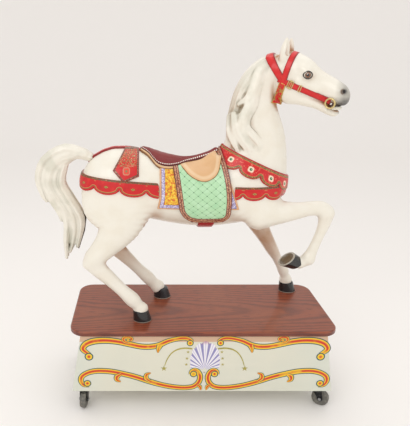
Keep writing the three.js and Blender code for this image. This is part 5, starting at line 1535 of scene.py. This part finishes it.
def cream(name, overhang_shadow=True):
    p = Paint(name, "#dedccb", rough=0.42, coat=0.1)
    x, y, z = p.xyz()
    p.over(p.noise(300, 3).ramp(0.4, 0.7) * 0.5, "#d3d6c8")
    p.over(p.noise(90, 3, stretch=(0.3, 1, 1)).ramp(0.5, 0.75) * 0.35, "#e8e3d3")
    p.over((x - PANEL_MIDDLE).abs().ramp(380, 560) * 0.5, "#d2d9cf")
    # painted shadow: a tan band where the board's overhang shades the top of the front panel
    if overhang_shadow:
        p.over(z.ramp(PANEL_TOP - OVERHANG_SHADOW_MM - 1, PANEL_TOP - OVERHANG_SHADOW_MM + 1) * 0.9, "#cfa98a")
    p.over(p.noise(25, 3).ramp(0.7, 0.75) * 0.2, "#b8b09a")
    return p.done(p.noise(30, 2, stretch=(0.15, 1, 1)), 0.2)

FRONT_PAINT, SIDE_PAINT = cream("cream_front"), cream("cream_plain", overhang_shadow=False)
for node in ("box_front", "box_back", "box_left_end", "box_right_end", "box_bottom"):
    repaint(node, FRONT_PAINT if node == "box_front" else SIDE_PAINT)
print("box painted, glaze", OVERHANG_SHADOW_MM, "mm deep")

# %% [markdown]
# ## Scrolls, shell and stars on the front panel
# The signwriter's ornament is a film of enamel on the cream paint. A scroll is a ribbon whose width swells
# and dies away: an orange-red core, yellow sides and a blue-green outline. The left half is drawn and the
# right half mirrors it.

# %%
PANEL_Y = PANEL_LOW.y * 1000
FILM = 0.25
WIDEN = 1.12
ART_MIDDLE = 7.0

def ribbon(points, widths):
    """A ribbon along [x, z] places: grid points, and how far each lies across it from 0 to 1."""
    line = np.array(flow(points, 14))
    n = len(line)
    half = np.interp(np.linspace(0, 1, n), np.linspace(0, 1, len(widths)), widths) * WIDEN
    ahead = np.gradient(line, axis=0)
    ahead /= np.linalg.norm(ahead, axis=1, keepdims=True)
    across = np.stack([-ahead[:, 1], ahead[:, 0]], axis=-1)
    w = np.linspace(-1, 1, 9)
    grid = line[:, None] + across[:, None] * (half[:, None] * w[None, :])[..., None]
    return grid, np.broadcast_to(np.abs(w)[None, :], (n, 9))

def blob(x, z, radius, rings=5, sides=24):
    r = np.linspace(0.02, 1, rings)[:, None]
    a = np.linspace(0, 2 * np.pi, sides + 1)[None, :]
    grid = np.stack([x + radius * r * np.cos(a), z + radius * r * np.sin(a)], axis=-1)
    return grid, np.broadcast_to(r, (rings, sides + 1))

def film(name, grids, material, layer=1.0):
    """Joins flat grids into one film of paint on the panel, and its mirror image."""
    points, quads, share, count = [], [], [], 0
    for step, (grid, value) in enumerate(grids):
        n, m = grid.shape[:2]
        for flip in (1.0, -1.0):
            x = ART_MIDDLE + flip * (grid[..., 0] - ART_MIDDLE)
            y = np.full(x.shape, PANEL_Y - FILM * layer - 0.02 * step)
            points.append(np.stack([x, y, grid[..., 1]], axis=-1).reshape(-1, 3))
            quads.append(count + turned(points[-1], grid_quads(n, m), RIGHT))
            share.append(np.ravel(value))
            count += n * m
    obj = mesh_of(name, np.concatenate(points), [np.concatenate(quads)], material,
                  attributes=dict(share=np.concatenate(share)))
    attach(obj, "stand_with_horse")

def scroll_paint():
    p = Paint("scroll_enamel", "#1d4f56", rough=0.38, coat=0.15)
    share = p.attribute("share")
    p.over(share.below(0.74, 0.06), "#f2cf24")
    p.over(share.below(0.46, 0.14), "#ee8f24")
    p.over(share.below(0.28, 0.12), "#cf3517")
    p.over(p.noise(60, 2).ramp(0.5, 0.7) * share.below(0.6, 0.2) * 0.6, "#f3cf2c")
    return p.done()

print("paint film", FILM, "mm thick")

# %% [markdown]
# ## The scrolls' course
# Each list runs along the middle of one ribbon, in millimetres from the panel's centre line and from
# the board's top. The leaves and the round ends are added to them.

# %%
UPPER = [[-490, -117], [-507, -104], [-519, -90], [-513, -73], [-497, -60], [-466, -50], [-419, -47],
         [-368, -53], [-317, -66], [-265, -77], [-222, -77], [-188, -68], [-154, -51], [-116, -40],
         [-84, -36], [-62, -42], [-50, -54]]
LOWER = [[-497, -274], [-521, -270], [-533, -250], [-528, -227], [-506, -210], [-475, -200],
         [-440, -198], [-396, -202], [-344, -214], [-292, -229], [-239, -249], [-186, -267],
         [-133, -279], [-80, -284], [-40, -278], [-17, -258], [-10, -230], [-19, -204], [-34, -194],
         [-48, -202], [-50, -216]]
SPIRAL = [[-318, -60], [-340, -52], [-344, -38], [-326, -31], [-308, -39], [-316, -50]]
scroll = [
    ribbon(UPPER, [9, 11, 13, 14, 15, 15, 14, 13, 13, 13, 12, 11, 10, 10, 9]), blob(-494, -127, 19),
    blob(-58, -60, 15), ribbon(LOWER, [7, 10, 12, 12, 13, 13, 13, 13, 13, 12, 12, 12, 12, 12, 11, 10, 9]),
    blob(-505, -262, 17), blob(-39, -214, 16), ribbon(SPIRAL, [5, 7, 8, 8, 7, 5]), blob(-324, -46, 8),
    ribbon([[-188, -72], [-194, -88], [-196, -108]], [13, 10, 2]),
    ribbon([[-354, -214], [-374, -228], [-374, -244], [-358, -254]], [6, 12, 10, 2]),
    ribbon([[-228, -252], [-246, -236], [-244, -217], [-226, -208]], [6, 11, 9, 2]),
    ribbon([[-24, -268], [-9, -279], [-5, -296]], [5, 9, 3]),
]
film("panel_scrolls", scroll, scroll_paint(), layer=2.0)

# %% [markdown]
# The shell is a fan of white petals with lavender between them, over a small base. Olive sprigs curve from
# it to a star on each side.

# %%
SHELL_BASE, SHELL_PETALS, SHELL_SPREAD = (9.0, -190.0), 11, math.radians(168)
SHELL_REACH = [[0, 140], [10, 135], [24, 119], [39, 98], [59, 77], [79, 65], [98, 60]]

def shell_paint():
    p = Paint("shell_enamel", "#8d89ba", rough=0.38, coat=0.2)
    a, r = p.uv()
    pitch = math.degrees(SHELL_SPREAD) / SHELL_PETALS
    across = a.swing(pitch).abs() / pitch
    p.over(across.below(0.30, 0.16), "#f1edf2")
    p.over(across.below(0.08, 0.08) * r.ramp(30, 90) * 0.6, "#b9b3d4")
    p.over(r.ramp(118, 140) * a.abs().below(9, 2) * 0.7, "#b56a86")
    return p.done()

def shell_grid():
    a = np.linspace(-SHELL_SPREAD / 2, SHELL_SPREAD / 2, 177)[None, :]
    pitch = SHELL_SPREAD / SHELL_PETALS
    lobe = np.abs(np.cos(np.pi * a / pitch))
    tall = np.interp(np.abs(np.degrees(a)), *np.transpose(SHELL_REACH)) * (0.93 + 0.07 * lobe ** 0.6)
    r = np.linspace(0.06, 1, 20)[:, None] * tall
    x, z = SHELL_BASE[0] + r * np.sin(a), SHELL_BASE[1] + r * np.cos(a)
    return np.stack([x, z], axis=-1), np.degrees(a) + 0 * r, r

grid, turn_deg, radius_mm = shell_grid()
n, m = grid.shape[:2]
points = np.stack([grid[..., 0], np.full((n, m), PANEL_Y - FILM), grid[..., 1]], axis=-1).reshape(-1, 3)
quads = turned(points, grid_quads(n, m), RIGHT)
fan = mesh_of("panel_shell", points, [quads], shell_paint(), uv=np.stack([turn_deg, radius_mm], axis=-1))
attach(fan, "stand_with_horse")

def star(x, z, size):
    """A five-pointed star as one ring of quads."""
    a = np.linspace(0, 2 * np.pi, 11) + np.pi / 2
    reach_mm = np.where(np.arange(11) % 2 == 0, size, size * 0.38)
    r = np.array([0.02, 1.0])[:, None] * reach_mm[None, :]
    return np.stack([x + r * np.cos(a), z + r * np.sin(a)], axis=-1), np.zeros((2, 11))

olive = Paint("olive_enamel", "#b0a44e", rough=0.4)
olive.over(olive.noise(20, 2).ramp(0.45, 0.65) * 0.6, "#8c8a3c")
sprigs = [ribbon([[-48, -88], [-80, -85], [-110, -91], [-136, -109], [-155, -139], [-166, -172]],
                 [3.2, 3.4, 3.0, 2.4, 2.0, 1.4]), star(-169, -186, 15)]
sprigs += [star(x, z, 8.0) for x, z in ((-66, -104), (-70, -136), (-72, -166))]
sprigs += [star(ART_MIDDLE, -206, 4.0)]
film("panel_sprigs", sprigs, olive.done(), layer=1.5)
print("panel painted")

# %% [markdown]
# ## Iron, rubber and steel
# The tail stay is flat iron with rust-brown patches. The forks are black enamelled steel with worn edges,
# the wheels dark rubber, the axles zinc-plated.

# %%
def metal(name, base, other, rough, metallic, size_mm):
    p = Paint(name, base, rough=rough, metal=metallic)
    p.over(p.noise(size_mm, 3).ramp(0.48, 0.62) * 0.7, other)
    return p.done(p.noise(size_mm / 4, 2), 0.1)

FINISHES = dict(stay=metal("iron", "#2c2622", "#5a3d2a", 0.6, 0.7, 22),
                fork=metal("black_enamelled_steel", "#1a1a1c", "#3c3c3e", 0.4, 0.6, 9),
                axle=metal("zinc_plated_steel", "#9fa0a2", "#7c7d80", 0.35, 1.0, 6),
                wheel=metal("grey_rubber", "#66645e", "#827e74", 0.65, 0.0, 12))

repaint("tail_stay", FINISHES["stay"])
for corner in ("fl", "fr", "bl", "br"):
    repaint(f"caster_{corner}_plate", FINISHES["fork"])
    repaint(f"caster_{corner}_fork", FINISHES["fork"])
    repaint(f"caster_{corner}_axle", FINISHES["axle"])
    repaint(f"caster_{corner}_wheel", FINISHES["wheel"])
print("casters and stay finished")

# %% [markdown]
# ## Studio, light and camera
# A pale sweep runs up behind the object without a corner. Soft light comes from a wide box at the upper
# left, a weaker one at the right and one overhead.

# %%
BACKDROP = "#faf7f4"
SWEEP_START, SWEEP_RADIUS, SWEEP_TOP, SWEEP_HALF = 6.0, 4.0, 16.0, 20.0

def sweep():
    a = np.linspace(0, np.pi / 2, 24)
    line = [(-SWEEP_HALF, 0.0)] + [(SWEEP_START + SWEEP_RADIUS * math.sin(t),
                                    SWEEP_RADIUS * (1 - math.cos(t))) for t in a]
    line.append((SWEEP_START + SWEEP_RADIUS, SWEEP_TOP))
    points = [(x, y, z) for y, z in line for x in (-SWEEP_HALF, SWEEP_HALF)]
    faces = [(2 * i, 2 * i + 1, 2 * i + 3, 2 * i + 2) for i in range(len(line) - 1)]
    mesh = bpy.data.meshes.new("studio_sweep")
    mesh.from_pydata(points, [], faces)
    mesh.polygons.foreach_set("use_smooth", [True] * len(faces))
    mesh.materials.append(Paint("studio_paper", BACKDROP, rough=0.9).done())
    obj = bpy.data.objects.new("studio_sweep", mesh)
    bpy.context.collection.objects.link(obj)

def soft_light(name, place, size, power):
    data = bpy.data.lights.new(name, "AREA")
    data.shape = "RECTANGLE"
    data.size, data.size_y = size
    data.energy = power
    lamp = bpy.data.objects.new(name, data)
    bpy.context.collection.objects.link(lamp)
    lamp.location = place
    lamp.rotation_mode = "QUATERNION"
    lamp.rotation_quaternion = (Vector(LOOKED_AT) - Vector(place)).to_track_quat("-Z", "Y")

sweep()
LAMPS = [("key", (-1.6, -3.0, 3.4), (2.6, 2.2), 36), ("fill", (2.8, -2.6, 1.6), (2.2, 2.2), 6),
         ("top", (0.2, 0.8, 3.8), (3.2, 2.2), 14)]
SKY, SKY_STRENGTH = "#f3f1ef", 0.96
LOOKED_AT = (0, 0, 0.9)
for lamp in LAMPS:
    soft_light(*lamp)
world = bpy.data.worlds.new("studio")
world.use_nodes = True
world.node_tree.nodes["Background"].inputs[0].default_value = linear(SKY)
world.node_tree.nodes["Background"].inputs[1].default_value = SKY_STRENGTH
bpy.context.scene.world = world

LENS_MM, SENSOR_MM, SHIFT_X, PITCH_DOWN = 42.25, 36.0, 0.147, 17.2
CAMERA_PLACE = (-263.0, -2105.0, 1106.0)
view = bpy.data.cameras.new("camera")
view.lens, view.sensor_width, view.shift_x = LENS_MM, SENSOR_MM, SHIFT_X
camera = bpy.data.objects.new("camera", view)
bpy.context.collection.objects.link(camera)
camera.location = metres(CAMERA_PLACE)
camera.rotation_euler = (math.radians(90 - PITCH_DOWN), 0, 0)
bpy.context.scene.camera = camera
bpy.context.scene.view_settings.view_transform = "Standard"
